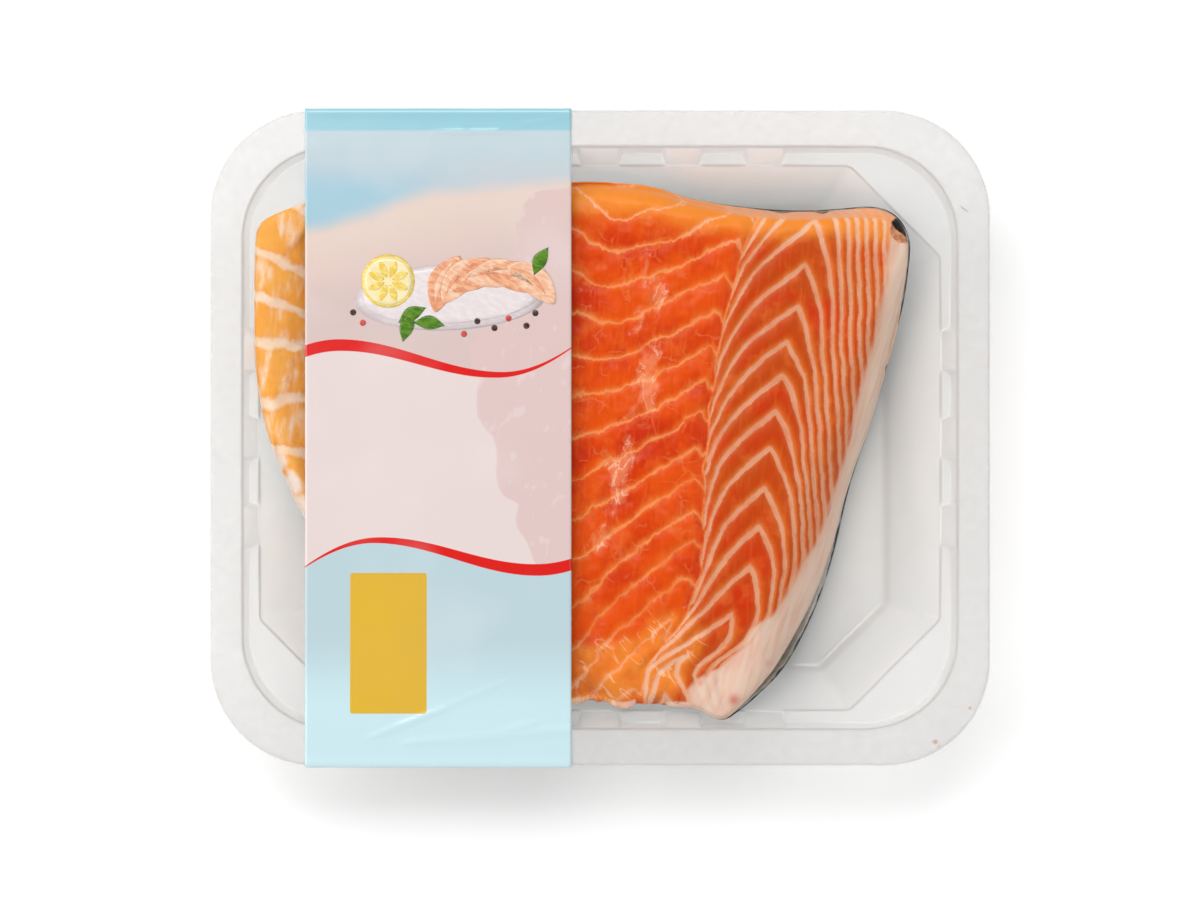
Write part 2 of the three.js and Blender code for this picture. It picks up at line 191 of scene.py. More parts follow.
class Paint:
    """A material's node tree, with short calls for the nodes that the finishes share."""

    def __init__(self, name: str) -> None:
        """Starts a material with nothing but its output."""
        self.material = bpy.data.materials.new(name)
        self.material.use_nodes = True
        self.tree = self.material.node_tree
        self.tree.nodes.clear()
        self.output = self.tree.nodes.new("ShaderNodeOutputMaterial")

    def node(self, kind: str, inputs: dict | None = None, **settings: object) -> bpy.types.Node:
        """Adds a node.

        Args:
            kind: The node's type without its common first part.
            inputs: Values or sockets for its inputs, by name or number.
            settings: Its other properties.

        Returns:
            The new node.
        """
        made = self.tree.nodes.new("ShaderNode" + kind)
        for key, value in settings.items():
            setattr(made, key, value)
        for key, value in (inputs or {}).items():
            if isinstance(value, bpy.types.NodeSocket):
                self.tree.links.new(value, made.inputs[key])
            else:
                made.inputs[key].default_value = value
        return made

    def place(self, scale: Sequence[float] = (1, 1, 1), turn: float = 0.0) -> bpy.types.NodeSocket:
        """Object coordinates in millimetres, turned about Z and then stretched by scale."""
        source = self.node("TexCoord").outputs["Object"]
        size = 1 / METRE
        turned = self.node("Mapping", {"Vector": source, "Rotation": (0, 0, turn), "Scale": (size,) * 3})
        return self.node("Mapping", {"Vector": turned.outputs[0], "Scale": tuple(scale)}).outputs[0]

    def attribute(self, name: str) -> bpy.types.NodeSocket:
        """A number that the mesh holds at each vertex."""
        return self.node("Attribute", attribute_name=name).outputs["Fac"]

    def noise(
        self,
        vector: bpy.types.NodeSocket,
        size: float,
        detail: float = 2.0,
        roughness: float = 0.5,
        distortion: float = 0.0,
    ) -> bpy.types.NodeSocket:
        """Noise around 0.5 whose blobs are about size millimetres across."""
        inputs = {
            "Vector": vector,
            "Scale": 1 / size,
            "Detail": detail,
            "Roughness": roughness,
            "Distortion": distortion,
        }
        return self.node("TexNoise", inputs).outputs["Fac"]

    def math(self, operation: str, *values: object, clamp: bool = False) -> bpy.types.NodeSocket:
        """One step of arithmetic on numbers or sockets."""
        inputs = dict(enumerate(values))
        return self.node("Math", inputs, operation=operation, use_clamp=clamp).outputs[0]

    def smooth(self, value: object, start: float, end: float) -> bpy.types.NodeSocket:
        """A smooth rise from 0 at start to 1 at end, or a fall where end is below start."""
        inputs = {"Value": value, "From Min": start, "From Max": end}
        return self.node("MapRange", inputs, interpolation_type="SMOOTHSTEP").outputs[0]

    def mix(self, factor: object, a: object, b: object, blend: str = "MIX") -> bpy.types.NodeSocket:
        """Blends colour b over colour a."""
        return self.node("Mix", {0: factor, 6: a, 7: b}, data_type="RGBA", blend_type=blend).outputs[2]

    def bump(self, height: object, depth: float, strength: float = 1.0) -> bpy.types.NodeSocket:
        """Normals for a relief that is depth millimetres deep where height goes from 0 to 1."""
        inputs = {"Height": height, "Distance": depth * METRE, "Strength": strength}
        return self.node("Bump", inputs).outputs[0]

    def finish(self, shader: bpy.types.NodeSocket) -> bpy.types.Material:
        """Joins the shader to the output and gives the material back."""
        self.tree.links.new(shader, self.output.inputs["Surface"])
        return self.material


def make_object(bm: bmesh.types.BMesh, name: str, places: Array | None = None) -> bpy.types.Object:
    """Turns a bmesh in millimetres into an object in metres with smooth faces.

    Args:
        bm: The mesh, which is freed.
        name: The piece's name.
        places: Where its vertices go, if not where the bmesh has them.

    Returns:
        The object, linked to the scene.
    """
    if places is not None:
        for vertex, place in zip(bm.verts, places):
            vertex.co = place
    bmesh.ops.scale(bm, vec=(METRE, METRE, METRE), verts=bm.verts)
    bmesh.ops.recalc_face_normals(bm, faces=bm.faces)
    mesh = bpy.data.meshes.new(name)
    bm.to_mesh(mesh)
    bm.free()
    mesh.shade_smooth()
    made = bpy.data.objects.new(name, mesh)
    bpy.context.scene.collection.objects.link(made)
    return made


def thicken(bm: bmesh.types.BMesh, thickness: float) -> None:
    """Turns a sheet into a solid by a second face on the side that its normals point away from."""
    bm.normal_update()
    bmesh.ops.solidify(bm, geom=list(bm.faces), thickness=thickness)


def give_numbers(made: bpy.types.Object, numbers: dict[str, Array]) -> None:
    """Stores named numbers at each vertex, for the material to read."""
    for name, values in numbers.items():
        held = made.data.attributes.new(name, "FLOAT", "POINT")
        held.data.foreach_set("value", np.asarray(values, np.float32))


def join_frame(
    made: bpy.types.Object, slot: Slot, material: bpy.types.Material, *nodes: str
) -> bpy.types.Object:
    """Makes a piece part of the object: its body, its finish and the CAD nodes that it stands for."""
    made.data.materials.append(material)
    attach(made, "root")
    if nodes:
        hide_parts(*nodes)
    faces = len(made.data.polygons)
    log.info("%s: %d faces, stands for %s", made.name, faces, ", ".join(nodes) or "no node")
    return made


@dataclass(frozen=True)
class ClearPlastic:
    """A clear sheet: it reflects at its surface, lets light through and is slightly milky; on the tray,
    painted dark lines along its bends stand in for the shade that refraction gives there.
    """

    name: str
    haze: float
    haze_tint: Colour
    through_tint: Colour
    straight_gloss: float = 0.03
    gloss_roughness: float = 0.08
    ripple_size: float = 18.0
    ripple_depth: float = 0.0
    # Painted shade: how strongly, and in what grey, the bends show as dark lines in place of refraction's
    # shade
    bend_shade_strength: float = 0.0
    bend_shade_tint: Colour = tint(150, 143, 139)
    glow_share: float = 0.25
    seal_haze: float = 0.0
    seal_tint: Colour = tint(216, 213, 211)

    def material(self) -> bpy.types.Material:
        """Builds the node tree.

        Returns:
            The finished material.
        """
        paint = Paint(self.name)
        place = paint.place()
        cloud = paint.noise(place, 30.0, detail=3)
        ripple = paint.noise(place, self.ripple_size, detail=2, distortion=0.6)
        normal = paint.bump(ripple, self.ripple_depth)
        clear = paint.node("BsdfTransparent", {"Color": self.through_tint}).outputs[0]
        gloss = paint.node(
            "BsdfGlossy", {"Roughness": self.gloss_roughness, "Normal": normal}
        ).outputs[0]
        facing = paint.node("LayerWeight", {"Blend": 0.5, "Normal": normal}).outputs["Facing"]
        grazing = paint.math("POWER", facing, 5.0)
        mirrored = paint.math("MULTIPLY_ADD", grazing, 1 - self.straight_gloss, self.straight_gloss)
        sheet = paint.node("MixShader", {0: mirrored, 1: clear, 2: gloss}).outputs[0]
        milky = paint.node("BsdfDiffuse", {"Color": self.haze_tint}).outputs[0]
        glow = paint.node("BsdfTranslucent", {"Color": self.haze_tint}).outputs[0]
        veil = paint.node("MixShader", {0: self.glow_share, 1: milky, 2: glow}).outputs[0]
        amount = paint.math("MULTIPLY_ADD", cloud, self.haze * 0.3, self.haze * 0.85)
        body = paint.node("MixShader", {0: amount, 1: sheet, 2: veil}).outputs[0]
        if self.seal_haze > 0:
            return paint.finish(self.sealed(paint, body))
        # Painted shade: a darker grey mixed in along the bends, in place of the shade that refraction gives
        # there
        edge = paint.node("BsdfDiffuse", {"Color": self.bend_shade_tint}).outputs[0]
        bend_shade = paint.math("MULTIPLY", paint.attribute("line"), self.bend_shade_strength)
        return paint.finish(paint.node("MixShader", {0: bend_shade, 1: body, 2: edge}).outputs[0])

    def sealed(self, paint: Paint, body: bpy.types.NodeSocket) -> bpy.types.NodeSocket:
        """Adds the greyish cast that the sheet has where it is welded to another one."""
        mottled = paint.noise(paint.place(), 2.6, detail=3)
        welded = paint.math("MULTIPLY", paint.smooth(paint.attribute("seal"), 0.2, 0.7), self.seal_haze)
        amount = paint.math("MULTIPLY", welded, paint.math("MULTIPLY_ADD", mottled, 0.5, 0.75))
        grey = paint.node("BsdfDiffuse", {"Color": self.seal_tint}).outputs[0]
        return paint.node("MixShader", {0: amount, 1: body, 2: grey}).outputs[0]


def octagon(half_x: float, half_y: float, cut: float, radius: float, stations: "Stations") -> Array:
    """A rectangle with its corners cut off at 45 degrees and rounded, as one closed loop of places.

    Args:
        half_x: Half its length.
        half_y: Half its width.
        cut: How much each cut takes off a side.
        radius: The rounding of its vertices.
        stations: The places along its sides where it has points.

    Returns:
        The loop's plan places, anticlockwise from the middle of its -Y side's left end.
    """
    tangent = radius * math.tan(math.pi / 8)
    angles = np.linspace(0, math.pi / 4, stations.corner_steps + 1)
    loop = []
    for side in range(4):
        is_long = side % 2 == 0
        out, reach = (half_y, half_x) if is_long else (half_x, half_y)
        along = list(stations.along(is_long))
        away = [out] * len(along)
        for start, (mid_along, mid_away) in (
            (0.0, (reach - cut - tangent, out - radius)),
            (math.pi / 4, (reach - radius, out - cut - tangent)),
        ):
            along.extend(mid_along + radius * np.sin(start + angles))
            away.extend(mid_away + radius * np.cos(start + angles))
        turn = side * math.pi / 2
        along, away = np.array(along), np.array(away)
        x = along * math.cos(turn) + away * math.sin(turn)
        y = along * math.sin(turn) - away * math.cos(turn)
        loop.append(np.stack([x, y], axis=1))
    return np.concatenate(loop)


@dataclass(frozen=True)
class Stations:
    """Where the tray's loops have points: at the ramps of its stacking pockets and round its corners."""

    pocket_edges_long: tuple[float, ...] = (5.55, 17.25, 27.45, 39.15, 49.8)
    pocket_edges_short: tuple[float, ...] = (5.7, 17.9, 29.5)
    ramp: float = 0.75
    ramp_steps: int = 4
    corner_steps: int = 10

    def edges(self, is_long: bool) -> tuple[float, ...]:
        """The places of the pockets' ends on one side, from the middle outwards."""
        return self.pocket_edges_long if is_long else self.pocket_edges_short

    def along(self, is_long: bool) -> Array:
        """The places of the points along one side."""
        steps = np.linspace(-self.ramp, self.ramp, self.ramp_steps)
        right = np.concatenate([edge + steps for edge in self.edges(is_long)])
        return np.concatenate([-right[::-1], right])

    def pocket_shares(self) -> Array:
        """For each point of a loop, 1 where the upper wall is set back and 0 on a land between pockets."""
        shares = []
        for side in range(4):
            is_long = side % 2 == 0
            along = np.abs(self.along(is_long))
            share = np.zeros(len(along))
            for number, edge in enumerate(self.edges(is_long)):
                rise = smooth_step(edge - self.ramp, edge + self.ramp, along)
                share += rise if number % 2 == 0 else -rise
            shares.append(share)
            shares.append(np.ones(2 * (self.corner_steps + 1)))
        return np.concatenate(shares)


@dataclass
class Bend:
    """A bend of the tray: its loop of places, how round it is and how strongly it shows as a painted dark
    line, which stands in for the shade of refraction at the bend.
    """

    loop: Array
    radius: float
    line: Array


@dataclass(frozen=True)
class Tray:
    """The clear formed tray: base, sloping wall, ledge, pocketed upper wall, sealing rim and turned lip."""

    wall: float = 0.5
    mouth_corner: float = 24.8
    lip_depth: float = 3.0
    lip_round: float = 0.9
    ledge_half_x: float = 92.3
    ledge_half_y: float = 73.8
    ledge_height: float = 24.0
    ledge_cut: float = 24.5
    ledge_rise: float = 0.25
    land_step: float = 0.6
    pocket_depth: float = 2.6
    base_half_x: float = 80.0
    base_half_y: float = 64.5
    base_cut: float = 18.0
    base_round: float = 1.2
    cut_round: float = 3.0
    bend_steps: int = 5
    ledge_splits: int = 4
    stations: Stations = Stations()

    def rim(self, inset: float, z: float) -> Array:
        """A loop round the outside of the rim."""
        return self.rounded(PACK_LENGTH / 2 - inset, PACK_WIDTH / 2 - inset, RIM_CORNER - inset, z)

    def mouth(self, grow: float, z: float) -> Array:
        """A loop round the inner edge of the rim."""
        half_x = PACK_LENGTH / 2 - RIM_BREADTH_X + grow
        half_y = PACK_WIDTH / 2 - RIM_BREADTH_Y + grow
        return self.rounded(half_x, half_y, self.mouth_corner + grow, z)

    def rounded(self, half_x: float, half_y: float, radius: float, z: float) -> Array:
        """A loop with fully round corners."""
        cut = radius * (2 - math.sqrt(2)) + 0.01
        return self.lift(octagon(half_x, half_y, cut, radius, self.stations), z)

    def ledge(self, grow: float, z: float) -> Array:
        """A loop round the ledge's inner edge."""
        half_x, half_y = self.ledge_half_x + grow, self.ledge_half_y + grow
        return self.lift(octagon(half_x, half_y, self.ledge_cut, self.cut_round, self.stations), z)

    def base(self, grow: float, z: float) -> Array:
        """A loop round the base."""
        half_x, half_y = self.base_half_x + grow, self.base_half_y + grow
        return self.lift(octagon(half_x, half_y, self.base_cut, self.cut_round, self.stations), z)

    def upper_wall(self, z: float) -> Array:
        """The foot of the wall above the ledge: far back in the pockets, and by the ledge on the lands."""
        share = self.stations.pocket_shares()[:, None]
        return self.mouth(-self.pocket_depth / 4, z) * share + self.ledge(self.land_step, z) * (1 - share)

    @staticmethod
    def lift(loop: Array, z: float) -> Array:
        """Puts a plan loop at a height."""
        return np.column_stack([loop, np.full(len(loop), z)])

    def bends(self) -> list["Bend"]:
        """The bends of the upper surface from the base out to the lip."""
        foot = self.wall
        share = self.stations.pocket_shares()
        return [
            Bend(self.base(-self.base_round - 3.0, foot), 0.0, share * 0),
            Bend(self.base(-self.base_round * 0.4, foot), 3.0, share * 0 + 0.16),
            Bend(self.ledge(0, self.ledge_height), 0.7, 0.12 + 0.88 * share),
            Bend(self.upper_wall(self.ledge_height + self.ledge_rise), 0.5, 0.25 - 0.15 * share),
            Bend(self.mouth(0, RIM_TOP), 0.9, share * 0 + 1.0),
            Bend(self.rim(0, RIM_TOP), self.lip_round, share * 0 + 0.1),
            Bend(self.rim(0, RIM_TOP - self.lip_depth), 0.0, share * 0 + 0.1),
        ]

    def rings(self) -> list[tuple[Array, Array]]:
        """Rounds each bend with a short curve between the loops on both sides of it.

        Returns:
            The places of each ring, and how strongly each place shows as a painted dark line of shade.
        """
        bends = self.bends()
        rings = [(bends[0].loop, bends[0].line)]
        for before, bend, after in zip(bends, bends[1:], bends[2:]):
            starts, ends = (self.towards(bend.loop, other.loop, bend.radius) for other in (before, after))
            for step in range(self.bend_steps + 1):
                t = step / self.bend_steps
                place = starts * (1 - t) ** 2 + bend.loop * 2 * t * (1 - t) + ends * t * t
                rings.append((place, bend.line * (4 * t * (1 - t)) ** 2))
        rings.append((bends[-1].loop, bends[-1].line))
        foot = 2 * (self.bend_steps + 1)
        inner, outer = rings[foot][0], rings[foot + 1][0]
        shares = np.arange(self.ledge_splits + 1) / self.ledge_splits
        rings[foot:foot + 2] = [(inner + (outer - inner) * share, bends[0].line) for share in shares]
        return rings

    @staticmethod
    def towards(here: Array, other: Array, distance: float) -> Array:
        """Moves a loop towards another one, but never past the middle between them."""
        way = other - here
        length = np.linalg.norm(way, axis=1, keepdims=True)
        return here + way * np.minimum(distance / length, 0.48)

    def build(self) -> bpy.types.Object:
        """Extrudes the base's outline ring by ring, caps the base and gives the sheet its thickness."""
        bm = bmesh.new()
        # The strength of the painted shade along the bends, which the tray's material reads
        line = bm.verts.layers.float.new("line")
        rings = self.rings()
        first = [bm.verts.new(place) for place in rings[0][0]]
        base = bm.faces.new(first)
        edges = list(base.edges)
        for ring, bend_shade in rings[1:]:
            before = list(bm.verts)[-len(ring):]
            made = bmesh.ops.extrude_edge_only(bm, edges=edges)["geom"]
            edges = [e for e in made if isinstance(e, bmesh.types.BMEdge) and e.is_boundary]
            fresh = [v for v in made if isinstance(v, bmesh.types.BMVert)]
            above = {v: u for v in fresh for e in v.link_edges if (u := e.other_vert(v)) not in fresh}
            number = {vertex: k for k, vertex in enumerate(before)}
            for vertex in fresh:
                vertex.co = ring[number[above[vertex]]]
                vertex[line] = bend_shade[number[above[vertex]]]
            bm.verts.index_update()
            order = sorted(fresh, key=lambda v: number[above[v]])
            self.reorder(bm, order)
        bmesh.ops.recalc_face_normals(bm, faces=bm.faces)
        if base.normal.z < 0:
            bmesh.ops.reverse_faces(bm, faces=bm.faces)
        thicken(bm, self.wall)
        return make_object(bm, "tray")

    @staticmethod
    def reorder(bm: bmesh.types.BMesh, order: list[bmesh.types.BMVert]) -> None:
        """Numbers the newest ring's vertices in its loop's own order."""
        count = len(bm.verts)
        for number, vertex in enumerate(order):
            vertex.index = count - len(order) + number
        bm.verts.sort()


def tray_finish() -> bpy.types.Material:
    """Clear plastic with a faint milky cast and painted dark lines of shade along its bends."""
    return ClearPlastic(
        name="clear_tray",
        haze=0.28,
        haze_tint=tint(252, 252, 251),
        through_tint=(0.975, 0.975, 0.972, 1.0),
        straight_gloss=0.045,
        gloss_roughness=0.1,
        ripple_depth=0.05,
        bend_shade_strength=0.42,
        glow_share=0.45,
    ).material()


def rounded_square(u: Array, v: Array, half_x: float, half_y: float, radius: float) -> tuple[Array, Array]:
    """Maps the square -1..1 onto a rectangle with round corners.

    Args:
        u: Places across the square.
        v: Places up the square.
        half_x: Half the rectangle's length.
        half_y: Half its width.
        radius: Its corner radius.

    Returns:
        The places along X and Y.
    """
    x, y = u * half_x, v * half_y
    dx = np.maximum(np.abs(x) - (half_x - radius), 0)
    dy = np.maximum(np.abs(y) - (half_y - radius), 0)
    far, length = np.maximum(dx, dy), np.maximum(np.hypot(dx, dy), 1e-9)
    shrink = np.where((dx > 0) & (dy > 0), far / length, 1.0)
    new_x = np.where(dx > 0, np.sign(x) * (half_x - radius + dx * shrink), x)
    new_y = np.where(dy > 0, np.sign(y) * (half_y - radius + dy * shrink), y)
    return new_x, new_y


@dataclass(frozen=True)
class Sag:
    """How the lidding film lies between the sides of the rim: drawn down a little, with creases."""

    depth: float = 1.0
    reach: float = 34.0
    crease_depth: float = 0.12

    def at(self, x: Array, y: Array) -> Array:
        """How far the film lies below the rim's level at each plan place."""
        inside_x = PACK_LENGTH / 2 - RIM_BREADTH_X - np.abs(x)
        inside_y = PACK_WIDTH / 2 - RIM_BREADTH_Y - np.abs(y)
        hollow = smooth_step(0, self.reach, inside_x) * smooth_step(0, self.reach, inside_y)
        near_rim = smooth_step(0, 3, inside_x) * smooth_step(0, 3, inside_y) * (1 - 0.7 * hollow)
        crease = Ripple(5, 9.0).at(x + 0.5 * y, y * 0.35 - x * 0.2)
        return self.depth * hollow + self.crease_depth * near_rim * (1 + crease) / 2


@dataclass(frozen=True)
class LidFilm:
    """The clear lidding film, sealed on the rim and drawn down a little over the fillet."""

    top: float = 34.4
    thickness: float = 0.12
    inset: float = 0.4
    mouth_corner: float = 24.8
    cells_long: int = 210
    cells_wide: int = 176
    sag: Sag = Sag()

    def build(self) -> bpy.types.Object:
        """Shapes a grid to the rim's outline, lets it sag and gives it thickness."""
        bm = bmesh.new()
        bmesh.ops.create_grid(bm, x_segments=self.cells_long, y_segments=self.cells_wide, size=1.0)
        square = np.array([vertex.co for vertex in bm.verts])
        x, y = rounded_square(
            square[:, 0],
            square[:, 1],
            PACK_LENGTH / 2 - self.inset,
            PACK_WIDTH / 2 - self.inset,
            RIM_CORNER - self.inset,
        )
        for vertex, place in zip(bm.verts, np.column_stack([x, y, self.top - self.sag.at(x, y)])):
            vertex.co = place
        thicken(bm, self.thickness)
        made = make_object(bm, "lid_film")
        places = np.array([vertex.co for vertex in made.data.vertices]) / METRE
        half_x, half_y = PACK_LENGTH / 2 - RIM_BREADTH_X, PACK_WIDTH / 2 - RIM_BREADTH_Y
        past_x = np.abs(places[:, 0]) - (half_x - self.mouth_corner)
        past_y = np.abs(places[:, 1]) - (half_y - self.mouth_corner)
        inside = np.minimum(np.maximum(past_x, past_y), 0)
        gap = np.hypot(np.maximum(past_x, 0), np.maximum(past_y, 0)) + inside - self.mouth_corner
        give_numbers(made, {"seal": gap})
        return made


def film_finish() -> bpy.types.Material:
    """A very clear film that reflects little from straight above."""
    return ClearPlastic(
        name="clear_film",
        haze=0.0015,
        haze_tint=tint(240, 240, 240),
        through_tint=(0.985, 0.985, 0.985, 1.0),
        straight_gloss=0.007,
        gloss_roughness=0.12,
        ripple_size=14.0,
        ripple_depth=0.12,
        seal_haze=0.2,
    ).material()


@dataclass(frozen=True)
class Wave:
    """A printed wave: it swings evenly from one turning point to the next and thickens along the strip."""

    turns: Table
    thin_at: float
    thick_at: float
    thin: float = 0.35
    thick: float = 3.2

    def middle(self, x: Array) -> Array:
        """The height of the wave's middle along the strip."""
        places, heights = np.array(self.turns, float).T
        number = np.clip(np.searchsorted(places, x) - 1, 0, len(places) - 2)
        share = (x - places[number]) / (places[number + 1] - places[number])
        swing = (1 - np.cos(np.pi * np.clip(share, 0, 1))) / 2
        return heights[number] + (heights[number + 1] - heights[number]) * swing

    def thickness(self, x: Array) -> Array:
        """How thick the wave is along the strip."""
        share = np.clip((x - self.thin_at) / (self.thick_at - self.thin_at), 0, 1)
        return self.thin + (self.thick - self.thin) * np.sin(np.pi / 2 * share)


@dataclass(frozen=True)
class PrintedBand:
    """The strip of printed film over the left part of the pack, folded down over both sides of the rim."""

    left: float = -79.3
    right: float = -7.7
    top: float = 34.8
    half_reach: float = 88.65
    turn_down: float = 3.4
    bend: float = 0.8
    thickness: float = 0.14
    lie: float = 0.22
    cell: float = 0.72
    sag: Sag = Sag()
    high_wave: Wave = Wave(((-110, 12), (-70, 25), (-27, 17), (33, 48)), thin_at=-7, thick_at=-80)
    low_wave: Wave = Wave(((-120, -58), (-60, -27.5), (-17, -35.5), (23, -24)), thin_at=-80, thick_at=-7)
    # The lower edge of the printed sky
    horizon: Table = ((-80, 55.7), (-65.9, 59.2), (-55.4, 62.9), (-42.4, 65.5), (-29.3, 67.1), (-7.4, 68.1))
    # Right of this line the film touches the fish, and its colour shows through the print
    touch_line: Table = (
        (-62, 6), (-46, -8), (-33.5, -17.3), (-30.5, -18.6), (-27.9, -19.9), (-24.7, -22.2), (-21.4, -22.8),
        (-17.6, -22.2), (-15.9, -25.4), (-13.6, -27.1), (-11, -27.7), (-0.3, -28.7), (3.4, -31.6),
        (6.8, -32.9), (12.7, -33.3), (15.9, -32.6), (21.8, -35.2), (25.7, -34.6), (31, -30.4),
        (37, -29.6), (41, -26), (46, -25.6), (51.8, -22.2), (57, -22.5), (60.4, -21.8),
        (62.9, -20.2), (65.2, -18.6), (66.4, -16.3), (67.4, -7.8),
    )
    # Creases: two ends, half breadth and height of each
    creases: Table = (
        (-61.9, -80.4, -41.7, -72.9, 0.9, 0.22), (-52.2, -82.0, -7.9, -78.4, 1.5, 0.26),
        (-60.6, -80.0, -24.2, -65.0, 0.8, 0.14), (-24.8, -78.1, -17.0, -76.5, 0.8, 0.2),
        (-45.6, 82.7, -45.3, 79.2, 0.5, 0.14), (-45.0, 82.1, -27.1, 82.4, 0.5, 0.16),
        (-37.8, 87.3, -35.5, 83.0, 0.5, 0.14), (-72.0, 69.4, -68.1, 64.5, 0.7, 0.14),
        (-77.0, 79.0, -62.0, 58.0, 1.8, 0.12), (-24.0, 4.0, -12.0, -16.0, 1.0, 0.1),
        (-58.0, 26.0, -58.4, 23.0, 0.5, 0.1), (-20.0, 84.6, -9.0, 86.2, 0.7, 0.14),
    )

    def fold(self, way: Array) -> tuple[Array, Array]:
        """Lays the strip over the pack, round the bend and down the side.

        Args:
            way: The distance along the strip from its middle.

        Returns:
            The place along Y, and the drop below the strip's top.
        """
        flat = self.half_reach - self.bend
        arc = self.bend * math.pi / 2
        over = np.clip(np.abs(way) - flat, 0, arc) / self.bend
        down = np.maximum(np.abs(way) - flat - arc, 0)
        y = np.minimum(np.abs(way), flat) + self.bend * np.sin(over)
        return np.sign(way) * y, self.bend * (1 - np.cos(over)) + down

    def relief(self, x: Array, y: Array) -> Array:
        """How far the strip's top face lies below its highest level."""
        low = self.lie + self.sag.at(x, y) + 0.03 * Ripple(11, 16.0).at(x, y)
        for crease in self.creases:
            low = low - crease[5] * self.crease_share(crease, x, y)
        return np.maximum(low, 0) * smooth_step(0, 2.5, self.half_reach - self.bend - np.abs(y))

    @staticmethod
    def crease_share(crease: Sequence[float], x: Array, y: Array) -> Array:
        """1 on a crease's middle line, falling to 0 away from it and towards its two ends."""
        ax, ay, bx, by, breadth = crease[:5]
        length = math.hypot(bx - ax, by - ay)
        along = ((x - ax) * (bx - ax) + (y - ay) * (by - ay)) / length**2
        taper = 0.45 + 0.55 * np.sin(np.pi * np.clip(along, 0, 1))
        gap = path_distance(((ax, ay), (bx, by)), x, y) / (breadth * taper)
        return np.exp(-gap * gap)

    def build(self) -> bpy.types.Object:
        """Bends a grid over the pack, raises its creases, thickens it and stores the print's fields."""
        reach = self.half_reach - self.bend * (1 - math.pi / 2) + self.turn_down - self.bend
        bm = bmesh.new()
        across = round((self.right - self.left) / self.cell)
        along = round(2 * reach / self.cell)
        bmesh.ops.create_grid(bm, x_segments=across, y_segments=along, size=1.0)
        square = np.array([vertex.co for vertex in bm.verts])
        x = (self.left + self.right) / 2 + square[:, 0] * (self.right - self.left) / 2
        y, drop = self.fold(square[:, 1] * reach)
        for vertex, place in zip(bm.verts, np.column_stack([x, y, self.top - drop - self.relief(x, y)])):
            vertex.co = place
        thicken(bm, self.thickness)
        made = make_object(bm, "printed_band")
        self.store_fields(made)
        return made

    def store_fields(self, made: bpy.types.Object) -> None:
        """Stores how far each vertex lies inside the waves and past the touch line, in millimetres."""
        places = np.array([vertex.co for vertex in made.data.vertices]) / METRE
        x, y = places[:, 0], places[:, 1]
        numbers = {}
        for name, wave in (("high_wave", self.high_wave), ("low_wave", self.low_wave)):
            middle, thick = wave.middle(x), wave.thickness(x)
            numbers[name + "_top"] = middle + thick / 2 - y
            numbers[name + "_foot"] = y - middle + thick / 2
        numbers["touch"] = x - curve_at(self.touch_line, y) + 0.35 * Ripple(21, 3.0).at(x, y)
        numbers["horizon"] = y - curve_at(self.horizon, x)
        give_numbers(made, numbers)


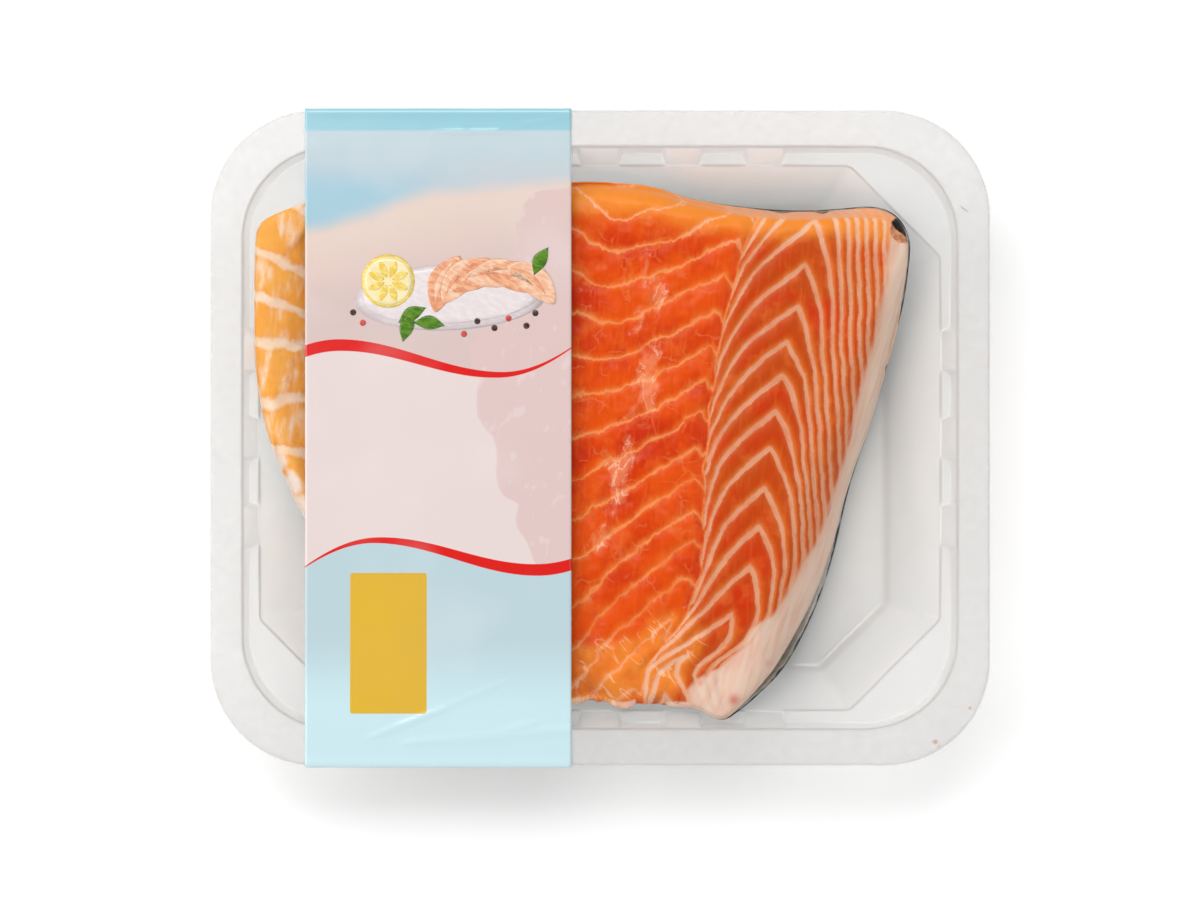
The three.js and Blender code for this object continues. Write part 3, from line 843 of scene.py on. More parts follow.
@dataclass(frozen=True)
class PrintFinish:
    """The print: fields of blue, pink and white, two red waves and a plain yellow panel, on glossy film."""

    teal: Colour = tint(153, 204, 216)
    sky: Colour = tint(197, 206, 212)
    sky_high: Colour = tint(194, 211, 217)
    sky_deep: Colour = tint(168, 203, 217)
    table: Colour = tint(217, 195, 190)
    table_far: Colour = tint(229, 209, 198)
    paper: Colour = tint(230, 215, 212)
    touched: Colour = tint(222, 195, 192)
    water: Colour = tint(189, 211, 218)
    water_low: Colour = tint(202, 230, 236)
    red: Colour = tint(222, 20, 14)
    yellow: Colour = tint(226, 183, 51)
    yellow_low: Colour = tint(222, 179, 61)
    white: Colour = tint(243, 247, 248)
    teal_foot: float = 82.6
    panel_middle: tuple[float, float] = (-56.9, -55.2)
    panel_half: tuple[float, float] = (10.3, 18.9)
    panel_round: float = 0.7
    glow_share: float = 0.15

    def material(self) -> bpy.types.Material:
        """Builds the node tree.

        Returns:
            The finished material.
        """
        paint = Paint("printed_film")
        place = paint.place()
        parts = paint.node("SeparateXYZ", {0: place})
        x, y = parts.outputs[0], parts.outputs[1]
        colour = self.picture_ground(paint, place, x, y)
        colour = self.lower_fields(paint, y, colour)
        colour = self.waves(paint, colour)
        cloud = paint.noise(place, 30.0, detail=2)
        worn = paint.math("MULTIPLY", paint.smooth(cloud, 0.5, 0.8), 0.14)
        colour = paint.mix(worn, colour, self.white)
        yellow = paint.mix(paint.smooth(cloud, 0.35, 0.75), self.yellow, self.yellow_low)
        colour = paint.mix(self.panel(paint, x, y), colour, yellow)
        fine = paint.noise(paint.place((1, 0.35, 1), 0.6), 5.0, detail=3, distortion=0.8)
        normal = paint.bump(fine, 0.08)
        shader = paint.node(
            "BsdfPrincipled",
            {
                "Base Color": colour,
                "Roughness": 0.3,
                "Specular IOR Level": 0.4,
                "Coat Weight": 0.6,
                "Coat Roughness": 0.1,
                "Normal": normal,
            },
        )
        glow = paint.node("BsdfTranslucent", {"Color": colour})
        shares = {0: self.glow_share, 1: shader.outputs[0], 2: glow.outputs[0]}
        return paint.finish(paint.node("MixShader", shares).outputs[0])

    def picture_ground(
        self, paint: Paint, place: bpy.types.NodeSocket, x: bpy.types.NodeSocket, y: bpy.types.NodeSocket
    ) -> bpy.types.NodeSocket:
        """The sky and the pale table behind the serving picture."""
        cloud = paint.math("SUBTRACT", paint.noise(place, 16.0, detail=3), 0.5)
        over = paint.math("MULTIPLY_ADD", cloud, 5.0, paint.attribute("horizon"))
        sky = paint.mix(paint.smooth(y, 68.0, 80.0), self.sky, self.sky_high)
        low = paint.smooth(paint.math("MULTIPLY_ADD", cloud, 6.0, y), 77.0, 65.0)
        wedge = paint.math("MULTIPLY", low, paint.smooth(x, -28.0, -66.0))
        sky = paint.mix(wedge, sky, self.sky_deep)
        table = paint.mix(paint.smooth(over, -24.0, -2.0), self.table, self.table_far)
        colour = paint.mix(paint.smooth(over, -2.2, 3.4), table, sky)
        return paint.mix(paint.smooth(y, self.teal_foot - 0.4, self.teal_foot + 0.5), colour, self.teal)

    def lower_fields(
        self, paint: Paint, y: bpy.types.NodeSocket, colour: bpy.types.NodeSocket
    ) -> bpy.types.NodeSocket:
        """The white field between the waves, the fish's colour through it, and the blue field below."""
        below_high = paint.smooth(paint.attribute("high_wave_foot"), 0.1, -0.1)
        colour = paint.mix(below_high, colour, self.paper)
        touch = paint.math("MULTIPLY", paint.smooth(paint.attribute("touch"), -0.25, 0.4), 0.85)
        under_sky = paint.smooth(y, 69.0, 66.0)
        bubble = paint.noise(paint.place((1, 0.6, 1), 0.4), 3.4, detail=2)
        loose = paint.math("MULTIPLY", paint.smooth(bubble, 0.6, 0.68), 0.5)
        touched = paint.mix(loose, self.touched, self.paper)
        colour = paint.mix(paint.math("MULTIPLY", touch, under_sky), colour, touched)
        water = paint.mix(paint.smooth(y, -52.0, -74.0), self.water, self.water_low)
        below_low = paint.smooth(paint.attribute("low_wave_foot"), 0.1, -0.1)
        return paint.mix(below_low, colour, water)

    def waves(self, paint: Paint, colour: bpy.types.NodeSocket) -> bpy.types.NodeSocket:
        """The two red waves."""
        for name in ("high_wave", "low_wave"):
            inside = [paint.smooth(paint.attribute(name + part), -0.1, 0.1) for part in ("_top", "_foot")]
            colour = paint.mix(paint.math("MULTIPLY", *inside), colour, self.red)
        return colour

    def panel(
        self, paint: Paint, x: bpy.types.NodeSocket, y: bpy.types.NodeSocket
    ) -> bpy.types.NodeSocket:
        """1 inside the panel with small round corners, and 0 outside."""
        beyond = []
        for at, middle, half in zip((x, y), self.panel_middle, self.panel_half):
            away = paint.math("ABSOLUTE", paint.math("SUBTRACT", at, middle))
            beyond.append(paint.math("MAXIMUM", paint.math("SUBTRACT", away, half - self.panel_round), 0.0))
        squares = [paint.math("MULTIPLY", part, part) for part in beyond]
        gap = paint.math("SQRT", paint.math("ADD", *squares))
        return paint.smooth(gap, self.panel_round + 0.08, self.panel_round - 0.08)


class Ink(Enum):
    """The inks of the serving picture, as a main and a second colour."""

    CORAL = (tint(211, 134, 98), tint(224, 172, 134))
    PEACH = (tint(222, 166, 131), tint(228, 194, 168))
    LEMON = (tint(221, 186, 69), tint(228, 207, 125))
    PITH = (tint(230, 218, 178), tint(228, 211, 153))
    LEAF = (tint(91, 131, 27), tint(52, 104, 11))
    PEPPER = (tint(44, 27, 24), tint(83, 57, 48))
    ROSE = (tint(194, 77, 71), tint(178, 52, 52))
    SHADE = (tint(196, 184, 187), tint(204, 192, 193))
    PLATE = (tint(213, 202, 203), tint(221, 211, 211))

    def material(self) -> bpy.types.Material:
        """A softly streaked ink."""
        paint = Paint("ink_" + self.name.lower())
        streak = paint.noise(paint.place((1, 2.6, 1), 0.4), 2.2, detail=3, distortion=0.4)
        main, second = self.value
        colour = paint.mix(paint.smooth(streak, 0.38, 0.66), main, second)
        shader = paint.node(
            "BsdfPrincipled",
            {"Base Color": colour, "Roughness": 0.32, "Specular IOR Level": 0.35, "Coat Weight": 0.35},
        )
        return paint.finish(shader.outputs[0])


@dataclass(frozen=True)
class ServingPicture:
    """A printed serving picture: slices of cooked fish on a plate, a lemon wheel, leaves and peppercorns."""

    band: PrintedBand
    ink_depth: float = 0.02
    layer_step: float = 0.012
    clearance: float = 0.006
    shell_steps: int = 48

    def shape(self, bm: bmesh.types.BMesh, ink: Ink, layer: int, place: "Stamp") -> None:
        """Adds one flat shape.

        Args:
            bm: The picture so far.
            ink: Its ink.
            layer: How many shapes lie under it.
            place: Where it goes and how large it is.
        """
        cells = place.steps // 4
        made = bmesh.ops.create_grid(bm, x_segments=cells, y_segments=cells, size=1.0)["verts"]
        faces = list({face for vertex in made for face in vertex.link_faces})
        for vertex in made:
            u, v = vertex.co.x, vertex.co.y
            along, across = u * math.sqrt(1 - v * v / 2), v * math.sqrt(1 - u * u / 2)
            pinch = 1 - place.pinch * along * along
            bow = place.bow * (1 - along * along)
            vertex.co = Vector((along * place.length / 2, across * pinch * place.width / 2 + bow, 0))
        bmesh.ops.rotate(bm, verts=made, matrix=Matrix.Rotation(place.turn, 3, "Z"))
        bmesh.ops.translate(bm, verts=made, vec=(place.x, place.y, 0))
        lift = layer * self.layer_step
        plan = np.array([vertex.co for vertex in made])
        for vertex, low in zip(made, self.band.relief(plan[:, 0], plan[:, 1])):
            vertex.co.z = self.band.top - low + self.clearance + lift
        for face in faces:
            face.material_index = list(Ink).index(ink)
        grown = bmesh.ops.extrude_face_region(bm, geom=faces)["geom"]
        raised = [part for part in grown if isinstance(part, bmesh.types.BMVert)]
        bmesh.ops.translate(bm, verts=raised, vec=(0, 0, self.ink_depth))

    def build(self) -> bpy.types.Object:
        """Lays out the picture's shapes from back to front."""
        bm = bmesh.new()
        for ink, layer, stamp in self.layout():
            self.shape(bm, ink, layer, stamp)
        made = make_object(bm, "serving_picture")
        for ink in Ink:
            made.data.materials.append(ink.material())
        return made

    def layout(self) -> list[tuple[Ink, int, "Stamp"]]:
        """The shapes of the picture with their layers, from back to front."""
        shapes = [
            (Ink.SHADE, 1, Stamp(-40.0, 38.0, 52.0, 18.0, 0.05, steps=self.shell_steps)),
            (Ink.PLATE, 2, Stamp(-40.0, 38.6, 49.0, 15.6, 0.05, steps=self.shell_steps)),
        ]
        for step in range(6):
            turn = math.radians(66 - 21 * step)
            ink = Ink.CORAL if step % 2 == 0 else Ink.PEACH
            x, y = -41.0 + 4.5 * step, 43.4 - 0.8 * abs(step - 2.5)
            stamp = Stamp(x, y, 16.5, 7.8, turn, pinch=0.4, bow=1.4, steps=self.shell_steps)
            shapes.append((ink, 3 + step, stamp))
            crest = Stamp(x - 0.7, y + 0.5, 12.5, 1.5, turn, pinch=0.8, bow=1.5)
            shapes.append((Ink.CORAL if step % 2 else Ink.PEACH, 4 + step, crest))
        lemon_x, lemon_y = -57.0, 42.2
        shapes.append((Ink.LEMON, 3, Stamp(lemon_x, lemon_y, 14.4, 14.4, 0.0, steps=self.shell_steps)))
        shapes.append((Ink.PITH, 4, Stamp(lemon_x, lemon_y, 12.9, 12.9, 0.0, steps=self.shell_steps)))
        for step in range(8):
            turn = (step + 0.5) * math.pi / 4
            x, y = lemon_x + 3.4 * math.cos(turn), lemon_y + 3.4 * math.sin(turn)
            shapes.append((Ink.LEMON, 5, Stamp(x, y, 4.6, 2.1, turn, pinch=0.35)))
        for x, y, turn in ((-50.5, 33.0, 0.5), (-46.0, 30.6, -0.1), (-51.5, 29.8, 1.2), (-15.8, 47.5, 1.1)):
            shapes.append((Ink.LEAF, 9, Stamp(x, y, 8.6, 3.8, turn, pinch=0.9, bow=0.5)))
        for x, y, ink in (
            (-33.0, 31.4, Ink.PEPPER), (-28.4, 29.6, Ink.PEPPER), (-24.6, 32.2, Ink.ROSE),
            (-19.8, 30.2, Ink.PEPPER), (-17.4, 33.6, Ink.PEPPER), (-63.8, 31.0, Ink.ROSE),
            (-66.4, 33.8, Ink.PEPPER), (-36.6, 28.0, Ink.ROSE), (-14.6, 38.4, Ink.PEPPER),
        ):
            shapes.append((ink, 3, Stamp(x, y, 1.7, 1.7, 0.0, steps=16)))
        return shapes


@dataclass(frozen=True)
class Stamp:
    """The place, size, turn and form of one flat shape."""

    x: float
    y: float
    length: float
    width: float
    turn: float
    pinch: float = 0.0
    bow: float = 0.0
    steps: int = 24


@dataclass
class Places:
    """Plan places on the fillet with what its edge tables say there, as arrays of the same length."""

    x: Array
    y: Array
    inset: Array
    down: Array
    station: Array
    low: Array
    high: Array
    breadth: Array


class Fillet:
    """The fillet's outline, heights and muscle pattern, which its flesh and skin share."""

    # Plan outline, clockwise from the top left corner: the two end cuts, the back and the belly edge
    END_CUT_TOP = (
        (-91.6, 56.3), (-87.5, 59.6), (-78, 62.4), (-61.6, 64.6), (-37.5, 66.5), (-16, 67.5), (0.1, 68.1),
        (13.6, 67.5), (24.3, 64.8), (37.7, 62.7), (53.8, 61.6), (70.5, 62.2), (78, 60.8),
    )
    BACK_EDGE = (
        (82.3, 56.3), (83.4, 49), (82, 39.1), (78.5, 24.8), (73.2, 5.2), (67.3, -12.8), (62.4, -32.9),
        (57.1, -47.9), (49.8, -61.4), (42.3, -69.4),
    )
    END_CUT_BOTTOM = (
        (37.2, -73.6), (33.6, -75.8), (29.8, -75), (26, -72.8), (17.3, -71.6), (8.2, -71.4), (0.1, -70.2),
        (-7.4, -70.5), (-21.3, -69.1), (-37.5, -61.9), (-53.6, -50.3), (-68.3, -35.6),
    )
    BELLY_EDGE = ((-79.3, -20.8), (-84.7, -8.7), (-89.6, 4.7), (-92, 18.1), (-92.6, 34.2), (-92.4, 49))
    MIDDLE = (-6.0, -2.0)
    # Height of the flesh's top and of its underside along X
    CROWN = (
        (-94, 30.6), (-90, 29.5), (-86, 27.9), (-80, 25.2), (-70, 20.5), (-58, 17.5), (-46, 17.8), (-34, 21),
        (-22, 26), (-10, 29.6), (2, 31.2), (30, 31.8), (55, 31.4), (70, 30.4), (84, 28.6),
    )
    UNDERSIDE = ((-94, 25.8), (-88, 20), (-80, 12), (-70, 6), (-60, 3.2), (-48, 2.4), (84, 2.4))
    # The edge, side by side: place along the side, low corner, high corner and breadth of the rounding
    EDGE = (
        (
            (0, 25.6, 29, 5), (0.04, 22, 27, 6), (0.08, 16, 22.5, 7), (0.12, 12, 19, 7), (0.2, 9, 17.5, 6),
            (0.32, 10, 17.5, 6), (0.6, 15, 25, 5), (0.85, 14, 26.5, 6), (1, 24, 28.6, 5),
        ),
        (
            (0, 24, 28.6, 5), (0.07, 19, 25.5, 7), (0.17, 9, 14, 12), (0.3, 6.5, 10.5, 14),
            (0.6, 4, 8.5, 15), (0.8, 9, 14, 13), (0.93, 25, 28, 7), (1, 27, 29.8, 6),
        ),
        (
            (0, 27, 29.8, 6), (0.08, 27, 29.8, 6), (0.16, 21, 27, 6), (0.3, 17, 21.5, 10),
            (0.55, 14, 19.5, 8), (0.8, 4.5, 12, 7), (1, 12, 17.5, 6),
        ),
        ((0, 12, 17.5, 6), (0.35, 20.5, 24.5, 5), (0.6, 25, 29, 5), (1, 25.6, 29, 5)),
    )
    # How far inside the outline the top edge and the foot of the cut face lie, by station round the fillet
    TOP_INSET = (
        (0, 0.3), (0.5, 0.3), (0.62, 1.7), (0.75, 2.5), (0.93, 2.5), (1.0, 1.6), (1.2, 0.9), (1.6, 1.6),
        (1.85, 3.1), (1.97, 1.9), (2.1, 0.6), (2.4, 0.6), (3, 0.3), (4, 0.3),
    )
    FOOT_INSET = (
        (0, 0.1), (0.6, 0.1), (0.78, 0.4), (0.8, 1.2), (0.82, 0.4), (0.85, 0.5), (0.863, 1.4), (0.876, 0.5),
        (0.98, 0.6), (1.05, 1.2), (1.14, 1.2), (1.2, 0.3), (1.26, 0.2), (1.27, 0.8), (1.285, 0.2), (1.5, 0.7),
        (1.7, 1.9), (1.85, 2.7), (1.95, 1.8), (2.05, 0.5), (2.3, 0.2), (4, 0.1),
    )
    # Muscle pattern: the mid-line between loin and belly, and the line of the loin's arrow tips
    MIDLINE = (
        (-62.9, 11.6), (-57.8, 15.6), (-46.3, 23.9), (-32.8, 27.4), (-11.3, 28), (7.5, 29.6), (23.7, 32),
        (45.7, 37.1), (60, 42.2),
    )
    TIP_LINE = (
        (-64, 17.5), (-61, 20), (-57.4, 26), (-54, 30.6), (-50, 33.8), (-46, 36.4), (-40, 38.6),
        (-34.9, 40.6), (-23.7, 42.9), (-13.7, 44.4), (-2.8, 45.8), (7.4, 47.6), (16.7, 49.2), (25.7, 50.5),
        (35.5, 53.2), (46.2, 55), (58.2, 58.1),
    )
    INNER_ARM = ((0, 0), (0.1, 1.6), (0.32, 5.1), (0.5, 8.4), (0.68, 12.6), (0.82, 18), (0.93, 24.5), (1, 31))
    OUTER_ARM = (
        (0, 0), (1, 1.3), (2.2, 3.1), (3.5, 5.4), (5, 8.4), (6.5, 12), (8, 16.6), (9.3, 21.5), (12, 32.5),
        (20, 65.5), (40, 148),
    )
    # The height of each arrow's tip and its number, with the pattern running on beyond the fillet
    TIPS = (
        (-120, -11), (-59.5, -5), (-47.9, -4), (-34.9, -3), (-23.9, -2), (-13.6, -1), (-2.7, 0), (7.3, 1),
        (16.7, 2), (25.9, 3), (35.6, 4), (46.4, 5), (58.2, 6), (230, 23),
    )
    BELLY_START = -7.5
    BELLY_DROP_HIGH = ((-90, 2), (-30, -4), (0, 0), (9, 6.2), (18, 5.6), (28, 2.7), (36, -1.3), (46, -5.6))
    BELLY_DROP_LOW = ((-90, 0), (-30, 3), (0, 0), (9, -4), (28, -14.5), (36, -19.6), (46, -25))
    BELLY_HIGH_Y = 58.4
    BELLY_SPAN_Y = 70.5
    BELLY_PITCH = 11.3
    BELLY_HOOK = 4.5
    # The left end's bands: the height of each white sheet with its number, and how steeply the sheets run
    LEFT_MIDDLE = -87.0
    LEFT_BANDS = (
        (-120, -9), (-29, -2), (-16, -1), (-3.1, 0), (10.2, 1), (25.4, 2), (35.9, 3), (48.1, 4), (64, 5),
        (120, 9),
    )
    LEFT_SLOPE = ((-10, -0.15), (-3, -0.15), (10, 0.08), (25, -0.12), (36, -0.34), (48, -0.42), (60, -0.42))
    # Where the loin's flesh ends and the fat along the back begins: place along Y and along X
    FAT_LINE = (
        (-67.8, 23.7), (-64.5, 26.9), (-61.3, 33.1), (-57, 37.6), (-51.4, 40.9), (-46.8, 47.1), (-37.1, 53),
        (-32.5, 55.7), (-28.2, 58.4), (-16.9, 62.7), (-6.7, 65.9), (-2, 67), (10.2, 69.6), (19.6, 72.1),
        (28.8, 74.6), (41.1, 76.5), (47.3, 77.4), (53.5, 78.3),
    )
    # The streak of white tissue where the pin bones were
    PIN_BONES = (
        (14.8, 46.5), (13.4, 18.3), (10.8, 10.2), (8.1, -0.5), (5.4, -11.3), (2.7, -24.7), (0, -28.8),
    )

    # The outline is as seen from this height over the film, so its lower parts lie a little further out
    EYE_HEIGHT = 1000.0
    SIDE_STEPS = 200
    SHOULDER = 0.93
    EASE_START = 0.88
    FLESH_BULGE = 0.55
    FLESH_THINNEST = 1.4
    SKIN_THICKNESS = 0.9
    SOFT_GAP = 0.3
    GRID_SLACK = 2.4
    HIGHEST = 32.2
    TOP_LIMIT = 32.6
    BASE_HALF = (80.0, 64.5, 18.0)
    LEDGE_HALF = (92.3, 73.8, 24.5)
    FOOT_HEIGHT = 2.0
    WALL_BLEND = 3.0
    REST_BLEND = 1.2
    TOP_BLEND = 1.6
    LEDGE_HEIGHT = 24.0

    def __init__(self) -> None:
        """Resamples the outline evenly along each side, with its outward normals."""
        lists = (self.END_CUT_TOP, self.BACK_EDGE, self.END_CUT_BOTTOM, self.BELLY_EDGE)
        points = np.array([point for side in lists for point in side], float)
        stations, places = [], []
        start = 0
        for number, side in enumerate(lists):
            at = start + np.linspace(0, len(side), self.SIDE_STEPS + 1)
            samples = self.spline(points, at)
            steps = np.linalg.norm(np.diff(samples, axis=0), axis=1)
            along = np.concatenate([[0], np.cumsum(steps)])
            wanted = np.linspace(0, along[-1], self.SIDE_STEPS + 1)
            even = np.column_stack([np.interp(wanted, along, samples[:, k]) for k in (0, 1)])
            stations.append(number + np.linspace(0, 1, self.SIDE_STEPS + 1))
            places.append(even)
            start += len(side)
        self.rim_station = np.concatenate(stations) + np.arange(4).repeat(self.SIDE_STEPS + 1) * 1e-9
        self.rim_place = np.concatenate(places)
        ahead = np.roll(self.rim_place, -3, axis=0) - np.roll(self.rim_place, 3, axis=0)
        ahead /= np.linalg.norm(ahead, axis=1, keepdims=True)
        self.rim_normal = np.column_stack([-ahead[:, 1], ahead[:, 0]])

    @staticmethod
    def spline(points: Array, at: Array) -> Array:
        """A closed smooth curve through the points, read at places counted in points."""
        count = len(points)
        i = np.floor(at).astype(int)
        t = (at - i)[:, None]
        p = [points[(i + k) % count] for k in (-1, 0, 1, 2)]
        bent = (2 * p[0] - 5 * p[1] + 4 * p[2] - p[3]) * t * t + (3 * (p[1] - p[2]) + p[3] - p[0]) * t**3
        return (2 * p[1] + (p[2] - p[0]) * t + bent) / 2

    def rim(self, station: Array, inset: Array) -> tuple[Array, Array]:
        """Places on the outline, moved inwards by inset."""
        read = [np.interp(station, self.rim_station, self.rim_place[:, k]) for k in (0, 1)]
        out = [np.interp(station, self.rim_station, self.rim_normal[:, k]) for k in (0, 1)]
        depth = RIM_TOP - (self.edge(station, 1) + self.edge(station, 2)) / 2
        nearer = 1 + depth / self.EYE_HEIGHT
        return read[0] * nearer - out[0] * inset, read[1] * nearer - out[1] * inset

    @staticmethod
    def station_of(u: Array, v: Array) -> tuple[Array, Array]:
        """Finds the ring and the place round the fillet of points in the square -1..1.

        Args:
            u: Places across the square.
            v: Places up the square.

        Returns:
            The ring, 0 in the middle and 1 on the border, and the station round it, 0 to 4.
        """
        ring = np.maximum(np.abs(u), np.abs(v))
        safe = np.maximum(ring, 1e-9)
        share = [(u / safe + 1) / 2, 1 + (1 - v / safe) / 2, 2 + (1 - u / safe) / 2, 3 + (v / safe + 1) / 2]
        return ring, np.select([v >= ring, u >= ring, v <= -ring], share[:3], share[3])

    def edge(self, station: Array, column: int) -> Array:
        """Reads a column of the edge tables at each station."""
        side = np.minimum(station.astype(int), 3)
        read = [curve_at(table, station - number, column) for number, table in enumerate(self.EDGE)]
        return np.choose(side, read)

    def ragged(self, station: Array) -> Array:
        """How far the outline stands out or in where the end cuts are torn."""
        torn = smooth_step(2.12, 2.2, station) * smooth_step(2.9, 2.6, station)
        wide, fine = (Ripple(*wave).at(station, 0 * station) for wave in ((31, 0.035), (32, 0.013)))
        return torn * (0.9 * wide + 0.5 * fine)

    def places(self, u: Array, v: Array, has_side: bool) -> Places:
        """Maps the square -1..1 onto the fillet's plan.

        Args:
            u: Places across the square.
            v: Places up the square.
            has_side: Whether the outermost rings run down the cut face.

        Returns:
            The plan places.
        """
        ring, station = self.station_of(u, v)
        shoulder = self.SHOULDER if has_side else 1.0
        run = np.minimum(ring / shoulder, 1)
        late = np.clip((run - self.EASE_START) / (1 - self.EASE_START), 0, 1)
        eased = np.where(
            run > self.EASE_START,
            self.EASE_START + (1 - self.EASE_START) * (late + late**2 - late**3),
            run,
        )
        down = np.clip((ring - shoulder) / max(1 - shoulder, 1e-9), 0, 1) if has_side else ring * 0
        foot_inset = curve_at(self.FOOT_INSET, station) - self.ragged(station)
        top_inset = curve_at(self.TOP_INSET, station) - self.ragged(station) if has_side else foot_inset
        top_x, top_y = self.rim(station, top_inset)
        reach = np.hypot(top_x - self.MIDDLE[0], top_y - self.MIDDLE[1])
        x = self.MIDDLE[0] + eased * (top_x - self.MIDDLE[0])
        y = self.MIDDLE[1] + eased * (top_y - self.MIDDLE[1])
        side_inset = top_inset + (foot_inset - top_inset) * down - self.FLESH_BULGE * np.sin(math.pi * down)
        side_x, side_y = self.rim(station, side_inset)
        x, y = np.where(down > 0, side_x, x), np.where(down > 0, side_y, y)
        edges = [self.edge(station, column) for column in (1, 2, 3)]
        return Places(x, y, (1 - eased) * reach, down, station, *edges)

    def tray_inside(self, x: Array, y: Array, margin: float) -> Array:
        """Height of the tray's inside at a plan place, for a tray shrunk by a margin all round."""
        spread = [self.LEDGE_HALF[k] - self.BASE_HALF[k] for k in (0, 1)]
        cut_spread = (sum(spread) - (self.LEDGE_HALF[2] - self.BASE_HALF[2])) / math.sqrt(2)
        reach = self.BASE_HALF[0] + self.BASE_HALF[1] - self.BASE_HALF[2]
        height = np.full(np.shape(x), 0.3)
        for distance, breadth in (
            (np.abs(x) - self.BASE_HALF[0], spread[0]),
            (np.abs(y) - self.BASE_HALF[1], spread[1]),
            ((np.abs(x) + np.abs(y) - reach) / math.sqrt(2), cut_spread),
        ):
            out = distance + margin
            slope = np.where(out > 0, (self.LEDGE_HEIGHT - self.FOOT_HEIGHT) / breadth, 1.0)
            height = soft_max(height, self.FOOT_HEIGHT + out * slope, self.WALL_BLEND)
        return np.minimum(height, self.LEDGE_HEIGHT)

    def edge_share(self, p: Places) -> Array:
        """How far a place has gone out through the rounded edge, from 0 to 1 at the rim."""
        return np.clip(1 - p.inset / p.breadth, 0, 1)

    def under(self, p: Places) -> Array:
        """Height of the flesh's underside."""
        clear = self.SKIN_THICKNESS + 2 * self.SOFT_GAP
        wall = self.tray_inside(p.x, p.y, clear + self.GRID_SLACK) + clear
        rest = soft_max(curve_at(self.UNDERSIDE, p.x), wall, self.REST_BLEND)
        out = self.edge_share(p)
        return np.maximum(rest, rest + (p.low - rest) * out * out)

    def over(self, p: Places, relief: Array) -> Array:
        """Height of the flesh's top with its relief."""
        crown = np.minimum(curve_at(self.CROWN, p.x), self.TOP_LIMIT) + relief
        out = self.edge_share(p)
        rounded = p.high + (crown - p.high) * np.sqrt(np.maximum(1 - out * out, 0))
        floor = self.under(p) + self.FLESH_THINNEST
        return np.minimum(soft_max(rounded, floor, self.TOP_BLEND), self.HIGHEST)

    def belly_bands(self, x: Array, y: Array) -> Array:
        """Counts the belly's muscle bands; each whole number is one sheet of white tissue."""
        out = x - self.BELLY_START
        high = curve_at(self.BELLY_DROP_HIGH, out)
        change = (curve_at(self.BELLY_DROP_LOW, out) - high) / self.BELLY_SPAN_Y
        hook = self.BELLY_HOOK * smooth_step(-3.4, 0.4, x - curve_at(self.MIDLINE, y))
        count = (y + high + hook + self.BELLY_HIGH_Y * change) / (1 + change) / self.BELLY_PITCH
        run = np.clip(x - self.LEFT_MIDDLE, -12, 12)
        left = curve_at(self.LEFT_BANDS, y - run * curve_at(self.LEFT_SLOPE, y))
        return count + (left - count) * smooth_step(-50, -74, x)

    def loin_bands(self, x: Array, y: Array) -> Array:
        """Counts the loin's muscle bands, each an arrow whose tip points up the fillet."""
        tip = curve_at(self.TIP_LINE, y)
        out = x - tip
        way = out / (curve_at(self.MIDLINE, y) - tip)
        drop = np.where(out < 0, curve_at(self.INNER_ARM, way), curve_at(self.OUTER_ARM, out))
        return curve_at(self.TIPS, y + drop)

    @staticmethod
    def rate(count: Callable[[Array, Array], Array], x: Array, y: Array) -> Array:
        """How many bands there are to a millimetre across them."""
        step = 0.3
        along_x = (count(x + step, y) - count(x - step, y)) / (2 * step)
        along_y = (count(x, y + step) - count(x, y - step)) / (2 * step)
        return np.maximum(np.hypot(along_x, along_y), 0.02)


@dataclass
class Pattern:
    """The muscle pattern at plan places, as arrays of the same length."""

    belly: Array
    loin: Array
    belly_rate: Array
    loin_rate: Array
    past_middle: Array
    past_tips: Array
    past_fat: Array
    top_gap: Array

    def line_gap(self) -> Array:
        """The distance to the nearest white sheet, in millimetres."""
        gaps = []
        for count, rate in ((self.belly, self.belly_rate), (self.loin, self.loin_rate)):
            gaps.append(np.abs(count - np.round(count)) / rate)
        return np.where(self.past_middle > 0, gaps[1], gaps[0])


